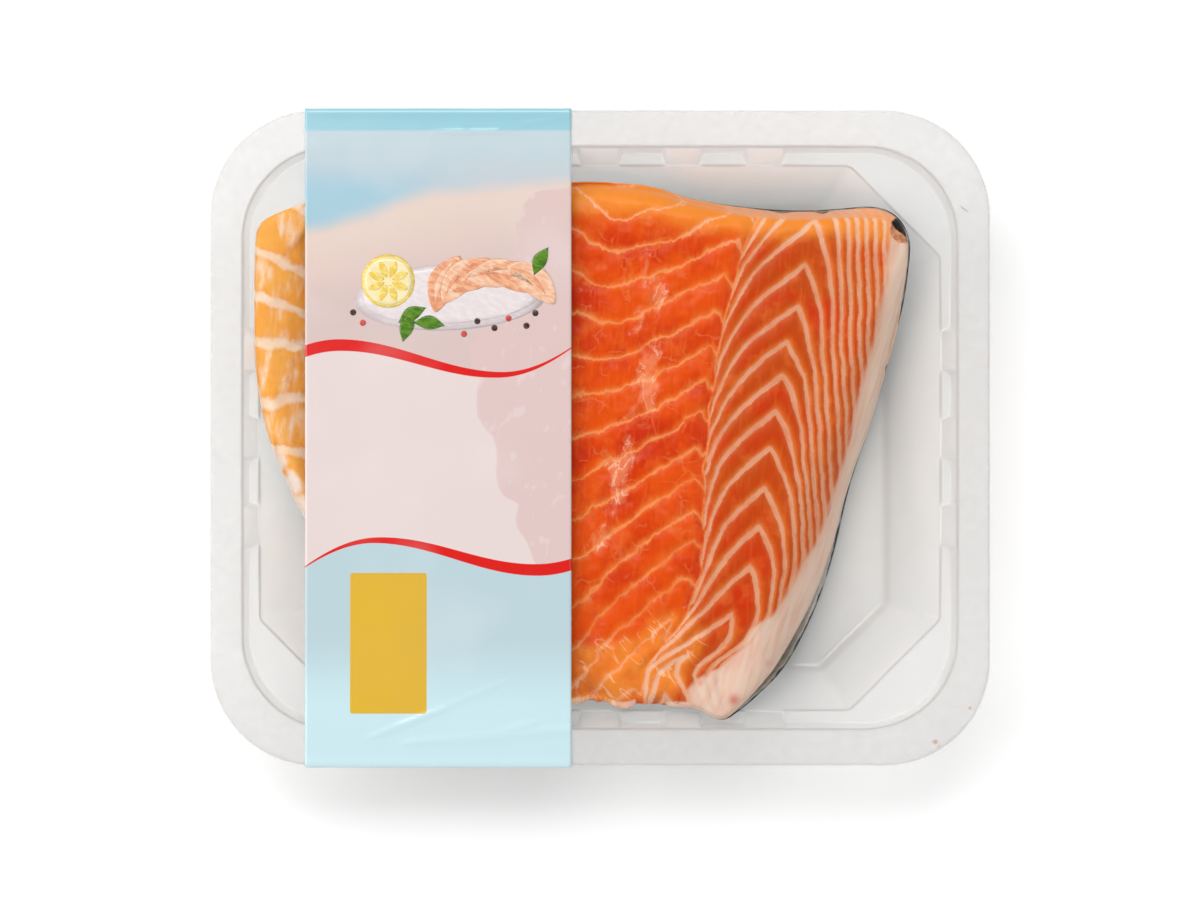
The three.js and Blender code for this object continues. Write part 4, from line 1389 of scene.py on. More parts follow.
@dataclass(frozen=True)
class Flesh:
    """The fillet's flesh: its upper face with low relief, its cut faces and its underside."""

    fillet: Fillet
    cells_across: int = 296
    cells_up: int = 256
    under_across: int = 74
    under_up: int = 64
    band_swell: float = 0.3
    groove_depth: float = 0.16
    groove_breadth: float = 0.55
    seam_depth: float = 0.8
    seam_breadth: float = 1.6
    belly_wander: float = 0.6
    loin_wander: float = 0.2
    # Soft spots: middle, radius and strength
    DEEP_SPOTS: Table = (
        (60.4, 33.0, 3.0, 1.0), (39.0, -42.6, 3.0, 1.0), (-3.0, -60.5, 5.5, 1.2), (-5.0, 34.0, 7.0, 0.9),
        (4.0, -17.0, 5.0, 0.8), (12.0, -3.0, 6.0, 0.6), (-6.0, -4.0, 5.0, 0.7), (47.0, 12.0, 3.0, 0.7),
        (30.0, -20.0, 3.0, 0.6),
    )
    BLOOD_SPOTS: Table = (
        (28.7, -63.4, 0.9, 0.6), (36.1, -70.6, 1.6, 0.65), (45.6, -60.9, 1.1, 0.3), (27.0, -66.0, 0.8, 0.35),
    )
    MEMBRANE: Table = ((-87.5, -6.5, 3.2, 0.8), (-84, -12.5, 3.6, 1.1), (-80.8, -19, 3.4, 1.1))

    def pattern(self, x: Array, y: Array, depth: Array) -> Pattern:
        """Reads the muscle pattern, with the wandering of its lines and their slant down the cut faces."""
        fillet = self.fillet
        middle = curve_at(fillet.MIDLINE, y) + 0.5 * Ripple(41, 4.0).at(x * 0, y)
        wander = self.loin_wander + (self.belly_wander - self.loin_wander) * smooth_step(2, -2, x - middle)
        broad = [Ripple(seed, 7.5).at(x, y) for seed in (42, 43)]
        fine = [Ripple(seed, 2.6).at(x, y) for seed in (44, 45)]
        wx = x + wander * (broad[0] * 1.3 + fine[0]) + 0.45 * depth
        wy = y + wander * (broad[1] * 1.3 + fine[1]) - 0.5 * depth
        top = np.interp(x, *np.array(fillet.END_CUT_TOP).T)
        return Pattern(
            belly=fillet.belly_bands(wx, wy),
            loin=fillet.loin_bands(wx, wy),
            belly_rate=fillet.rate(fillet.belly_bands, wx, wy),
            loin_rate=fillet.rate(fillet.loin_bands, wx, wy),
            past_middle=x - middle,
            past_tips=x - curve_at(fillet.TIP_LINE, y),
            past_fat=x - curve_at(fillet.FAT_LINE, y),
            top_gap=top - y,
        )

    def relief(self, p: Places, pattern: Pattern) -> Array:
        """Height of the low relief: bands, grooves, the seam, overlapping flakes and torn patches."""
        in_loin = smooth_step(-1, 1, pattern.past_middle)
        count = np.where(pattern.past_middle > 0, pattern.loin, pattern.belly)
        bundled = smooth_step(12.6, 17.6, pattern.past_tips)
        swell = -self.band_swell * (0.5 + 0.5 * np.cos(2 * math.pi * count)) * (1 - bundled)
        gap = pattern.line_gap() / self.groove_breadth
        groove = -self.groove_depth * np.exp(-gap * gap) * (1 - 0.6 * bundled)
        seam = -self.seam_depth * np.exp(-((pattern.past_middle / self.seam_breadth) ** 2))
        flake = 0.14 * (count - np.floor(count) - 0.5) * (1 - in_loin)
        rough = 0.16 * Ripple(51, 3.4).at(p.x, p.y) + 0.09 * Ripple(52, 1.5).at(p.x, p.y)
        torn = self.torn(p.x, p.y)
        tear = torn * (0.6 * Ripple(53, 5.0).at(p.x, p.y) + 0.4 * Ripple(54, 2.1).at(p.x, p.y))
        streak = self.pin_streak(p.x, p.y)
        bumps = streak * 0.35 * Ripple(55, 1.9).at(p.x, p.y)
        back = smooth_step(0, 3, pattern.past_fat) * 0.35 * Ripple(56, 3.0).at(p.x * 1.6, p.y * 0.4)
        return swell + groove + seam + flake + rough * (1.25 - in_loin) + tear + bumps + back

    def torn(self, x: Array, y: Array) -> Array:
        """1 in the torn part by the lower end cut, falling to 0 away from it."""
        return smooth_step(13, 6, path_distance(((-14, -66), (4, -63), (14, -62), (19, -55)), x, y))

    def pin_streak(self, x: Array, y: Array) -> Array:
        """1 along the streak where the pin bones were, falling to 0 away from it."""
        return smooth_step(9.5, 1.0, path_distance(self.fillet.PIN_BONES, x, y))

    def build(self) -> bpy.types.Object:
        """Joins a fine upper grid, which runs down the cut faces, to a plain lower one.

        Returns:
            The flesh, with the numbers that its material reads.
        """
        bm = bmesh.new()
        bmesh.ops.create_grid(bm, x_segments=self.cells_across, y_segments=self.cells_up, size=1.0)
        fine = len(bm.verts)
        drop = Matrix.Translation((0, 0, -0.02))
        bmesh.ops.create_grid(
            bm, x_segments=self.under_across, y_segments=self.under_up, size=1.0, matrix=drop
        )
        border = [edge for edge in bm.edges if edge.is_boundary]
        bmesh.ops.bridge_loops(bm, edges=border)
        square = np.array([vertex.co for vertex in bm.verts])
        upper = self.fillet.places(square[:fine, 0], square[:fine, 1], has_side=True)
        lower = self.fillet.places(square[fine:, 0], square[fine:, 1], has_side=False)
        pattern = self.pattern(upper.x, upper.y, upper.x * 0)
        edge_top = self.fillet.over(upper, self.relief(upper, pattern))
        foot = self.fillet.under(upper)
        height = edge_top + (foot - edge_top) * upper.down
        depth = edge_top - height
        base = self.fillet.under(lower)
        places = np.column_stack([
            np.concatenate([upper.x, lower.x]),
            np.concatenate([upper.y, lower.y]),
            np.concatenate([height, base]),
        ])
        made = make_object(bm, "fillet_flesh", places)
        station = np.concatenate([upper.station, lower.station])
        down = np.concatenate([upper.down, np.ones(len(lower.x))])
        depth = np.concatenate([depth, np.full(len(lower.x), 10.0)])
        inset = np.concatenate([upper.inset, lower.inset])
        self.store_numbers(made, places, station, down, depth, inset)
        return made

    def store_numbers(
        self, made: bpy.types.Object, places: Array, station: Array, down: Array, depth: Array, inset: Array
    ) -> None:
        """Stores the pattern and the zones of colour at each vertex."""
        x, y = places[:, 0], places[:, 1]
        pattern = self.pattern(x, y, depth)
        # The left end, painted paler: partly the flesh's own colour, partly painted light from the wash of
        # light and the film's whitish reflection there
        left = smooth_step(-50, -72, x)
        belly = smooth_step(1, -1, pattern.past_middle)
        inner = smooth_step(-1, -20, pattern.past_tips)
        outer = smooth_step(1, 9, pattern.past_tips)
        half = (0.62 - 0.3 * inner - 0.16 * outer) * (1 - belly) + (0.28 + 0.75 * left) * belly
        half += (0.10 + 0.1 * belly) * Ripple(61, 5.0).at(x, y) + 0.08 * Ripple(62, 1.7).at(x, y)
        half -= 0.5 * smooth_step(6, 2, pattern.top_gap) * belly * (1 - left)
        cut_top = smooth_step(0.66, 0.78, station) * smooth_step(1.03, 0.98, station)
        corner = smooth_step(4.6, 2.6, np.hypot(x - 82.0, y - 56.4))
        black = corner * smooth_step(-1.8, -0.4, (x - 82.0) * 0.6 + (y - 56.4) * 0.8)
        top_zone = smooth_step(14.0, 1.5, pattern.top_gap)
        torn = self.torn(x, y)
        # Amber zones: the top edge, the torn part, and the left end, where the amber is partly painted light
        yellow = np.maximum.reduce([left, top_zone * 0.9, torn * 0.62])
        low_end = smooth_step(2.06, 2.12, station) * smooth_step(2.7, 2.4, station)
        past_fat = pattern.past_fat + np.where((station > 1.06) & (station < 2.06), 6 * down, 0)
        give_numbers(made, {
            "belly_bands": pattern.belly,
            "loin_bands": pattern.loin,
            "belly_rate": pattern.belly_rate,
            "loin_rate": pattern.loin_rate,
            "past_middle": pattern.past_middle,
            "past_fat": past_fat,
            "line_half": np.maximum(half, 0.08),
            "left_end": left,
            "yellow": yellow,
            "torn": torn,
            "fringe": low_end * smooth_step(2.6, 0.2, inset) * (0.55 + 0.45 * Ripple(63, 4.0).at(x, y)),
            "cut_tissue": cut_top * np.maximum(down, smooth_step(2.0, 0.3, inset)),
            "dark_corner": corner,
            "black_corner": black,
            "deep_spots": self.spots(self.DEEP_SPOTS, x, y),
            "blood_spots": self.spots(self.BLOOD_SPOTS, x, y),
            "membrane": self.spots(self.MEMBRANE, x, y),
            "pin_streak": self.pin_streak(x, y) * (1 - down),
        })

    @staticmethod
    def spots(table: Table, x: Array, y: Array) -> Array:
        """How strongly each place lies in one of a table's soft round spots."""
        level = np.zeros(np.shape(x))
        for middle_x, middle_y, radius, strength in table:
            gap = np.hypot(x - middle_x, y - middle_y) / radius
            level = np.maximum(level, strength * np.exp(-gap * gap))
        return level


@dataclass(frozen=True)
class FleshFinish:
    """Raw salmon: orange muscle between pale sheets, fat along the back, moist shine, and painted light over
    the left end.
    """

    deep: Colour = tint(200, 46, 0)
    orange: Colour = tint(222, 78, 2)
    loin: Colour = tint(189, 71, 7)
    pale: Colour = tint(226, 112, 46)
    amber: Colour = tint(238, 144, 50)
    # The left end's paler amber: partly the flesh's own colour, partly a painted wash of light
    left_amber_and_painted_wash: Colour = tint(252, 178, 82)
    line: Colour = tint(218, 157, 122)
    belly_line: Colour = tint(231, 141, 82)
    left_line: Colour = tint(253, 226, 200)
    membrane: Colour = tint(248, 236, 226)
    fat: Colour = tint(226, 197, 178)
    fat_beige: Colour = tint(226, 200, 179)
    fat_pink: Colour = tint(214, 160, 134)
    tissue: Colour = tint(230, 158, 112)
    pin_tissue: Colour = tint(240, 168, 124)
    blood: Colour = tint(196, 42, 12)
    brown: Colour = tint(132, 84, 62)
    black: Colour = tint(28, 20, 18)
    streak_turn: float = 0.33

    def material(self) -> bpy.types.Material:
        """Builds the node tree.

        Returns:
            The finished material.
        """
        paint = Paint("raw_salmon")
        place = paint.place()
        loin_side = paint.smooth(paint.attribute("past_middle"), -0.1, 0.1)
        fibre = paint.noise(paint.place((1, 0.14, 1), 0.08), 0.9, detail=3)
        colour = self.muscle(paint, place, loin_side, fibre)
        gap = self.line_gap(paint, loin_side)
        colour = self.branches(paint, place, colour, loin_side)
        colour = self.lines(paint, place, colour, gap, loin_side)
        colour = self.torn_flesh(paint, place, colour)
        colour = self.tissue_patches(paint, colour)
        colour = self.fatty_back(paint, place, colour)
        colour = self.cut_edge(paint, place, colour)
        fine = paint.noise(place, 0.7, detail=3)
        normal = paint.bump(paint.math("MULTIPLY_ADD", fine, 0.5, fibre), 0.09)
        shader = paint.node(
            "BsdfPrincipled",
            {
                "Base Color": colour,
                "Roughness": 0.34,
                "Specular IOR Level": 0.08,
                "Subsurface Weight": 0.2,
                "Subsurface Radius": (1.0, 0.3, 0.1),
                "Subsurface Scale": 0.0012,
                "Coat Weight": 0.055,
                "Coat Roughness": 0.1,
                "Normal": normal,
            },
        )
        return paint.finish(shader.outputs[0])

    def muscle(
        self,
        paint: Paint,
        place: bpy.types.NodeSocket,
        loin_side: bpy.types.NodeSocket,
        fibre: bpy.types.NodeSocket,
    ) -> bpy.types.NodeSocket:
        """The orange of the muscle, deeper and paler in patches, amber towards the ends; over the left end,
        paler amber that is partly the flesh's own colour and partly painted light, and a painted whitish
        reflection.
        """
        patch = paint.noise(place, 12.0, detail=4, roughness=0.62)
        deeper = paint.math("MULTIPLY_ADD", paint.attribute("deep_spots"), 0.3, patch)
        belly = paint.mix(paint.smooth(deeper, 0.40, 0.72), self.orange, self.deep)
        loin = paint.mix(paint.smooth(deeper, 0.40, 0.80), self.loin, self.deep)
        colour = paint.mix(loin_side, belly, loin)
        light = paint.noise(place, 7.0, detail=3, roughness=0.6)
        colour = paint.mix(paint.math("MULTIPLY", paint.smooth(light, 0.52, 0.72), 0.4), colour, self.pale)
        streaks = paint.math("MULTIPLY", paint.smooth(fibre, 0.50, 0.76), 0.26)
        colour = paint.mix(streaks, colour, self.pale)
        shade = paint.math("MULTIPLY", paint.smooth(fibre, 0.46, 0.26), 0.25)
        colour = paint.mix(shade, colour, self.deep)
        wander = paint.math("MULTIPLY", paint.math("SUBTRACT", patch, 0.5), 1.1)
        edge = paint.math("ADD", wander, paint.attribute("yellow"))
        colour = paint.mix(paint.math("MULTIPLY", paint.smooth(edge, 0.12, 0.85), 0.92), colour, self.amber)
        # Left end: paler amber, partly the flesh's own paler colour and partly a painted wash of light
        left = paint.math("MULTIPLY_ADD", paint.smooth(light, 0.36, 0.66), 0.25, 0.75)
        colour = paint.mix(paint.math("MULTIPLY", left, paint.attribute("left_end")), colour, self.left_amber_and_painted_wash)
        # Left end: whitish streaks, a painted reflection standing in for the film's haze there
        veil = paint.smooth(paint.noise(paint.place((1, 0.3, 1), 0.1), 3.0, detail=3), 0.46, 0.8)
        colour = paint.mix(paint.math("MULTIPLY", veil, paint.attribute("left_end")), colour, self.left_line)
        lit = paint.math("SUBTRACT", light, 0.5)
        thin = paint.math("MULTIPLY_ADD", lit, 1.2, paint.attribute("membrane"))
        return paint.mix(paint.math("MULTIPLY", paint.smooth(thin, 0.25, 0.8), 0.85), colour, self.membrane)

    def line_gap(self, paint: Paint, loin_side: bpy.types.NodeSocket) -> bpy.types.NodeSocket:
        """How far a place lies above the nearest white sheet, in millimetres, with its small teeth."""
        teeth = paint.noise(paint.place((1, 0.3, 1)), 1.1, detail=2, roughness=0.6)
        broad = paint.noise(paint.place((1, 0.5, 1)), 3.2, detail=2)
        jag = paint.math("SUBTRACT", paint.math("MULTIPLY_ADD", broad, 0.8, teeth), 0.9)
        gaps = []
        for part, size in (("belly", 1.5), ("loin", 0.35)):
            rate = paint.attribute(part + "_rate")
            off = paint.math("MULTIPLY", paint.math("MULTIPLY", jag, size), rate)
            moved = paint.math("ADD", paint.attribute(part + "_bands"), off)
            turn = paint.math("FRACT", paint.math("ADD", moved, 0.5))
            gaps.append(paint.math("DIVIDE", paint.math("SUBTRACT", turn, 0.5), rate))
        mixed = paint.node("Mix", {0: loin_side, 2: gaps[0], 3: gaps[1]}, data_type="FLOAT")
        return mixed.outputs[0]

    def branches(
        self,
        paint: Paint,
        place: bpy.types.NodeSocket,
        colour: bpy.types.NodeSocket,
        loin_side: bpy.types.NodeSocket,
    ) -> bpy.types.NodeSocket:
        """Fine broken side lines between the belly's sheets."""
        bent = paint.node("TexNoise", {"Vector": place, "Scale": 1 / 3.0, "Detail": 2.0}).outputs["Color"]
        moved = paint.node("VectorMath", {0: bent, 1: (3.2, 3.2, 3.2)}, operation="MULTIPLY").outputs[0]
        shifted = paint.node("VectorMath", {0: place, 1: moved}, operation="ADD").outputs[0]
        cells = paint.node(
            "TexVoronoi", {"Vector": shifted, "Scale": 1 / 6.5}, feature="DISTANCE_TO_EDGE"
        ).outputs["Distance"]
        thin = paint.smooth(cells, 0.045, 0.012)
        patchy = paint.smooth(paint.noise(place, 6.0, detail=2), 0.50, 0.62)
        amount = paint.math("MULTIPLY", paint.math("MULTIPLY", thin, patchy), 0.28)
        only_belly = paint.math("SUBTRACT", 1.0, loin_side)
        return paint.mix(paint.math("MULTIPLY", amount, only_belly), colour, self.belly_line)

    def lines(
        self,
        paint: Paint,
        place: bpy.types.NodeSocket,
        colour: bpy.types.NodeSocket,
        gap: bpy.types.NodeSocket,
        loin_side: bpy.types.NodeSocket,
    ) -> bpy.types.NodeSocket:
        """The pale sheets between the muscle bands, with a soft paler zone beside them."""
        fray = paint.math("MULTIPLY", paint.math("SUBTRACT", paint.noise(place, 0.8, detail=2), 0.5), 0.5)
        away = paint.math("ADD", paint.math("ABSOLUTE", gap), fray)
        over = paint.math("SUBTRACT", away, paint.attribute("line_half"))
        above = paint.math("MULTIPLY_ADD", paint.smooth(gap, -0.1, 0.3), 0.7, 0.3)
        left = paint.attribute("left_end")
        line = paint.mix(loin_side, self.belly_line, self.line)
        pale = paint.math("MAXIMUM", left, paint.math("MULTIPLY", paint.attribute("yellow"), 0.5))
        line = paint.mix(pale, line, self.left_line)
        halo = paint.math("MULTIPLY", paint.smooth(over, 1.9, -0.3), above)
        colour = paint.mix(paint.math("MULTIPLY", halo, 0.34), colour, self.amber)
        near = paint.math("MULTIPLY", paint.smooth(over, 0.8, -0.1), above)
        colour = paint.mix(paint.math("MULTIPLY", near, 0.3), colour, line)
        patch = paint.smooth(paint.noise(place, 5.0, detail=2), 0.30, 0.62)
        strength = paint.math("MULTIPLY_ADD", patch, 0.3, 0.62)
        y = paint.node("SeparateXYZ", {0: place}).outputs[1]
        wandering = paint.math("MULTIPLY_ADD", paint.math("SUBTRACT", patch, 0.5), 16.0, y)
        faint = paint.math("SUBTRACT", paint.smooth(wandering, -18.0, -46.0), loin_side, clamp=True)
        strength = paint.math("MULTIPLY", strength, paint.math("MULTIPLY_ADD", faint, -0.42, 1.0))
        softer = paint.math("MULTIPLY", over, paint.math("MULTIPLY_ADD", left, -0.75, 1.0))
        fade = paint.math("MULTIPLY", paint.smooth(softer, 0.2, -0.14), strength)
        colour = paint.mix(fade, colour, line)
        seam = paint.math("ADD", paint.math("ABSOLUTE", paint.attribute("past_middle")), fray)
        strand = paint.math("MULTIPLY", paint.smooth(seam, 0.5, 0.12), paint.math("MULTIPLY", patch, 0.8))
        return paint.mix(strand, colour, self.belly_line)

    def torn_flesh(
        self, paint: Paint, place: bpy.types.NodeSocket, colour: bpy.types.NodeSocket
    ) -> bpy.types.NodeSocket:
        """Pale squiggles in the torn part, and the whitish fringe along the lower end cut."""
        curls = paint.noise(paint.place((1, 0.3, 1), -0.7), 3.6, detail=2, distortion=0.5)
        off = paint.math("ABSOLUTE", paint.math("SUBTRACT", curls, 0.5))
        squiggle = paint.math("MULTIPLY", paint.smooth(off, 0.03, 0.004), paint.attribute("torn"))
        rare = paint.smooth(paint.noise(place, 6.0, detail=1), 0.46, 0.6)
        squiggle = paint.math("MULTIPLY", squiggle, rare)
        colour = paint.mix(paint.math("MULTIPLY", squiggle, 0.35), colour, self.left_line)
        shreds = paint.noise(paint.place((1, 0.35, 1)), 1.6, detail=3)
        reach = paint.math("ADD", paint.attribute("fringe"), paint.math("SUBTRACT", shreds, 0.5))
        return paint.mix(paint.math("MULTIPLY", paint.smooth(reach, 0.4, 0.9), 0.7), colour, self.left_line)

    def tissue_patches(self, paint: Paint, colour: bpy.types.NodeSocket) -> bpy.types.NodeSocket:
        """Thin whitish tissue in ragged patches and strands where the pin bones were."""
        way = paint.place((1, 0.55, 1), 0.3)
        film = paint.noise(way, 5.2, detail=4, roughness=0.55, distortion=0.3)
        streak = paint.attribute("pin_streak")
        reach = paint.math("MULTIPLY_ADD", streak, 0.3, film)
        amount = paint.math("MULTIPLY", paint.smooth(reach, 0.74, 0.96), 0.46)
        colour = paint.mix(amount, colour, self.pin_tissue)
        strand = paint.noise(way, 4.4, detail=3, distortion=0.7)
        thin = paint.smooth(paint.math("ABSOLUTE", paint.math("SUBTRACT", strand, 0.5)), 0.026, 0.004)
        kept = paint.math("MULTIPLY", thin, paint.smooth(reach, 0.74, 0.9))
        return paint.mix(paint.math("MULTIPLY", kept, 0.38), colour, self.left_line)

    def fatty_back(
        self, paint: Paint, place: bpy.types.NodeSocket, colour: bpy.types.NodeSocket
    ) -> bpy.types.NodeSocket:
        """Cream, beige and pink fat, softly streaked along the back edge."""
        past = paint.attribute("past_fat")
        along = paint.place((1, 0.2, 1), self.streak_turn)
        streak = paint.noise(along, 2.4, detail=3, roughness=0.5)
        cloud = paint.noise(paint.place((1, 0.4, 1), self.streak_turn), 6.5, detail=3)
        y = paint.node("SeparateXYZ", {0: place}).outputs[1]
        low = paint.math("MULTIPLY_ADD", paint.math("SUBTRACT", cloud, 0.5), 60.0, y)
        fat = paint.mix(paint.smooth(low, -50.0, 0.0), self.fat, self.fat_beige)
        fat = paint.mix(paint.math("MULTIPLY", paint.smooth(streak, 0.42, 0.68), 0.5), fat, self.fat_pink)
        near = paint.math("MULTIPLY", paint.smooth(past, 4.0, 0.0), 0.45)
        fat = paint.mix(near, fat, self.fat_pink)
        fat = paint.mix(paint.attribute("blood_spots"), fat, self.blood)
        ragged = paint.math("MULTIPLY_ADD", paint.math("SUBTRACT", streak, 0.5), 3.4, past)
        return paint.mix(paint.smooth(ragged, -0.9, 1.3), colour, fat)

    def cut_edge(
        self, paint: Paint, place: bpy.types.NodeSocket, colour: bpy.types.NodeSocket
    ) -> bpy.types.NodeSocket:
        """The pinkish tissue of the upper cut face and the dark corner by the back."""
        blotch = paint.math("SUBTRACT", paint.noise(place, 1.5, detail=3), 0.5)
        strip = paint.math("MULTIPLY_ADD", blotch, 0.6, paint.attribute("cut_tissue"))
        colour = paint.mix(paint.math("MULTIPLY", paint.smooth(strip, 0.2, 0.65), 0.85), colour, self.tissue)
        spot = paint.math("MULTIPLY_ADD", blotch, 0.9, paint.attribute("dark_corner"))
        brown = paint.mix(paint.smooth(blotch, -0.3, 0.25), self.brown, self.tissue)
        colour = paint.mix(paint.smooth(spot, 0.3, 0.55), colour, brown)
        edge = paint.math("MULTIPLY_ADD", blotch, 1.2, paint.attribute("black_corner"))
        return paint.mix(paint.smooth(edge, 0.35, 0.6), colour, self.black)


@dataclass(frozen=True)
class Skin:
    """The skin: one even layer under all of the flesh, which shows as a dark rim along the back."""

    fillet: Fillet
    cells_across: int = 150
    cells_up: int = 130

    def build(self) -> bpy.types.Object:
        """Lays a grid under the flesh, turns its rim up a little along the back and gives it thickness."""
        bm = bmesh.new()
        bmesh.ops.create_grid(bm, x_segments=self.cells_across, y_segments=self.cells_up, size=1.0)
        square = np.array([vertex.co for vertex in bm.verts])
        ring, station = self.fillet.station_of(square[:, 0], square[:, 1])
        rim_x, rim_y = self.fillet.rim(station, -0.5 * self.fillet.ragged(station))
        middle_x, middle_y = self.fillet.MIDDLE
        x, y = middle_x + ring * (rim_x - middle_x), middle_y + ring * (rim_y - middle_y)
        inset = (1 - ring) * np.hypot(rim_x - middle_x, rim_y - middle_y)
        edges = [self.fillet.edge(station, column) for column in (1, 2, 3)]
        places = Places(x, y, inset, inset * 0, station, *edges)
        height = self.fillet.under(places) - self.fillet.SOFT_GAP
        for vertex, place in zip(bm.verts, np.column_stack([x, y, height])):
            vertex.co = place
        rim = bm.verts.layers.float.new("inset")
        for vertex, gap in zip(bm.verts, inset):
            vertex[rim] = gap
        bmesh.ops.solidify(bm, geom=list(bm.faces), thickness=self.fillet.SKIN_THICKNESS)
        return make_object(bm, "fillet_skin")


@dataclass(frozen=True)
class SkinFinish:
    """Silver fish skin with small scales, dark along the back."""

    silver: Colour = tint(196, 198, 196)
    pale: Colour = tint(226, 222, 214)
    back: Colour = tint(44, 50, 52)
    dark: Colour = tint(24, 24, 26)
    rim: Colour = tint(232, 231, 222)
    rim_dark: Colour = tint(196, 197, 190)

    def material(self) -> bpy.types.Material:
        """Builds the node tree.

        Returns:
            The finished material.
        """
        paint = Paint("salmon_skin")
        place = paint.place()
        x = paint.node("SeparateXYZ", {0: paint.place((1, 1, 1), 0.28)}).outputs[0]
        blotch = paint.noise(place, 5.0, detail=4, roughness=0.65)
        across = paint.math("MULTIPLY_ADD", paint.math("SUBTRACT", blotch, 0.5), 26.0, x)
        colour = paint.mix(paint.smooth(across, -60.0, 10.0), self.pale, self.silver)
        colour = paint.mix(paint.smooth(across, 34.0, 62.0), colour, self.back)
        speck = paint.noise(place, 1.7, detail=2)
        colour = paint.mix(paint.smooth(paint.math("ADD", speck, blotch), 1.12, 1.24), colour, self.dark)
        scales = paint.node(
            "TexVoronoi",
            {"Vector": paint.place((1, 0.75, 1), 0.28), "Scale": 1 / 2.4, "Randomness": 0.35},
        ).outputs["Distance"]
        colour = paint.mix(
            paint.math("MULTIPLY", paint.smooth(scales, 0.25, 0.6), 0.35), colour, self.dark
        )
        colour = self.cut_rim(paint, place, colour)
        shader = paint.node(
            "BsdfPrincipled",
            {
                "Base Color": colour,
                "Metallic": 0.25,
                "Roughness": 0.34,
                "Coat Weight": 0.3,
                "Normal": paint.bump(scales, 0.18),
            },
        )
        return paint.finish(shader.outputs[0])

    def cut_rim(
        self, paint: Paint, place: bpy.types.NodeSocket, colour: bpy.types.NodeSocket
    ) -> bpy.types.NodeSocket:
        """The rim that shows past the flesh: silver-grey, with a broken black line at its edge."""
        inset = paint.attribute("inset")
        upward = paint.node("SeparateXYZ", {0: paint.node("NewGeometry").outputs["Normal"]}).outputs[2]
        grain = paint.noise(paint.place((1, 0.4, 1), 0.33), 1.2, detail=3)
        grey = paint.mix(paint.smooth(grain, 0.4, 0.64), self.rim, self.rim_dark)
        seen = paint.math("MULTIPLY", paint.smooth(upward, -0.1, 0.3), paint.smooth(inset, 7.0, 4.0))
        colour = paint.mix(seen, colour, grey)
        shade = paint.math("MULTIPLY_ADD", paint.math("SUBTRACT", grain, 0.5), 1.2, inset)
        colour = paint.mix(paint.math("MULTIPLY", paint.smooth(shade, 1.7, 0.3), 0.5), colour, self.back)
        broken = paint.math("SUBTRACT", paint.noise(place, 5.0, detail=3), 0.5)
        ragged = paint.math("MULTIPLY_ADD", broken, 1.6, inset)
        return paint.mix(paint.smooth(ragged, 0.5, 0.2), colour, self.dark)


@dataclass(frozen=True)
class Crumbs:
    """Specks of flesh and a hair-like fibre caught between the rim and the film."""

    middle_z: float = 34.14
    half_height: float = 0.1
    speck_tint: Colour = tint(226, 150, 120)
    speck_pale: Colour = tint(236, 196, 176)
    fibre_tint: Colour = tint(66, 52, 48)
    fibre_pale: Colour = tint(92, 74, 66)
    # Places along X and Y, the two half breadths and the turn of each speck
    specks: Table = (
        (90.1, -81.7, 0.75, 0.6, 0.3), (91.0, -82.9, 0.4, 0.3, 1.0), (99.5, -72.6, 0.5, 0.4, 0.0),
    )
    fibre: Table = ((97.4, 62.0, 0.12, 0.7, 0.7), (98.4, 61.2, 0.12, 0.75, 0.95))

    def build(self) -> list[bpy.types.Object]:
        """Builds and dresses the specks and the fibre."""
        specks = self.flatten("crumbs", self.specks)
        specks.data.materials.append(self.finish("speck_crumbs", self.speck_tint, self.speck_pale))
        fibre = self.flatten("fibre", self.fibre)
        fibre.data.materials.append(self.finish("speck_fibre", self.fibre_tint, self.fibre_pale))
        return [specks, fibre]

    def flatten(self, name: str, table: Table) -> bpy.types.Object:
        """Flattens small balls into specks."""
        bm = bmesh.new()
        for x, y, half_x, half_y, turn in table:
            size = Matrix.Diagonal((half_x, half_y, self.half_height, 1))
            place = Matrix.Translation((x, y, self.middle_z)) @ Matrix.Rotation(turn, 4, "Z") @ size
            bmesh.ops.create_icosphere(bm, subdivisions=3, radius=1.0, matrix=place)
        return make_object(bm, name)

    @staticmethod
    def finish(name: str, main: Colour, second: Colour) -> bpy.types.Material:
        """Moist specks, lighter and darker in spots."""
        paint = Paint(name)
        colour = paint.mix(paint.smooth(paint.noise(paint.place(), 0.6), 0.4, 0.6), main, second)
        shader = paint.node("BsdfPrincipled", {"Base Color": colour, "Roughness": 0.4})
        return paint.finish(shader.outputs[0])


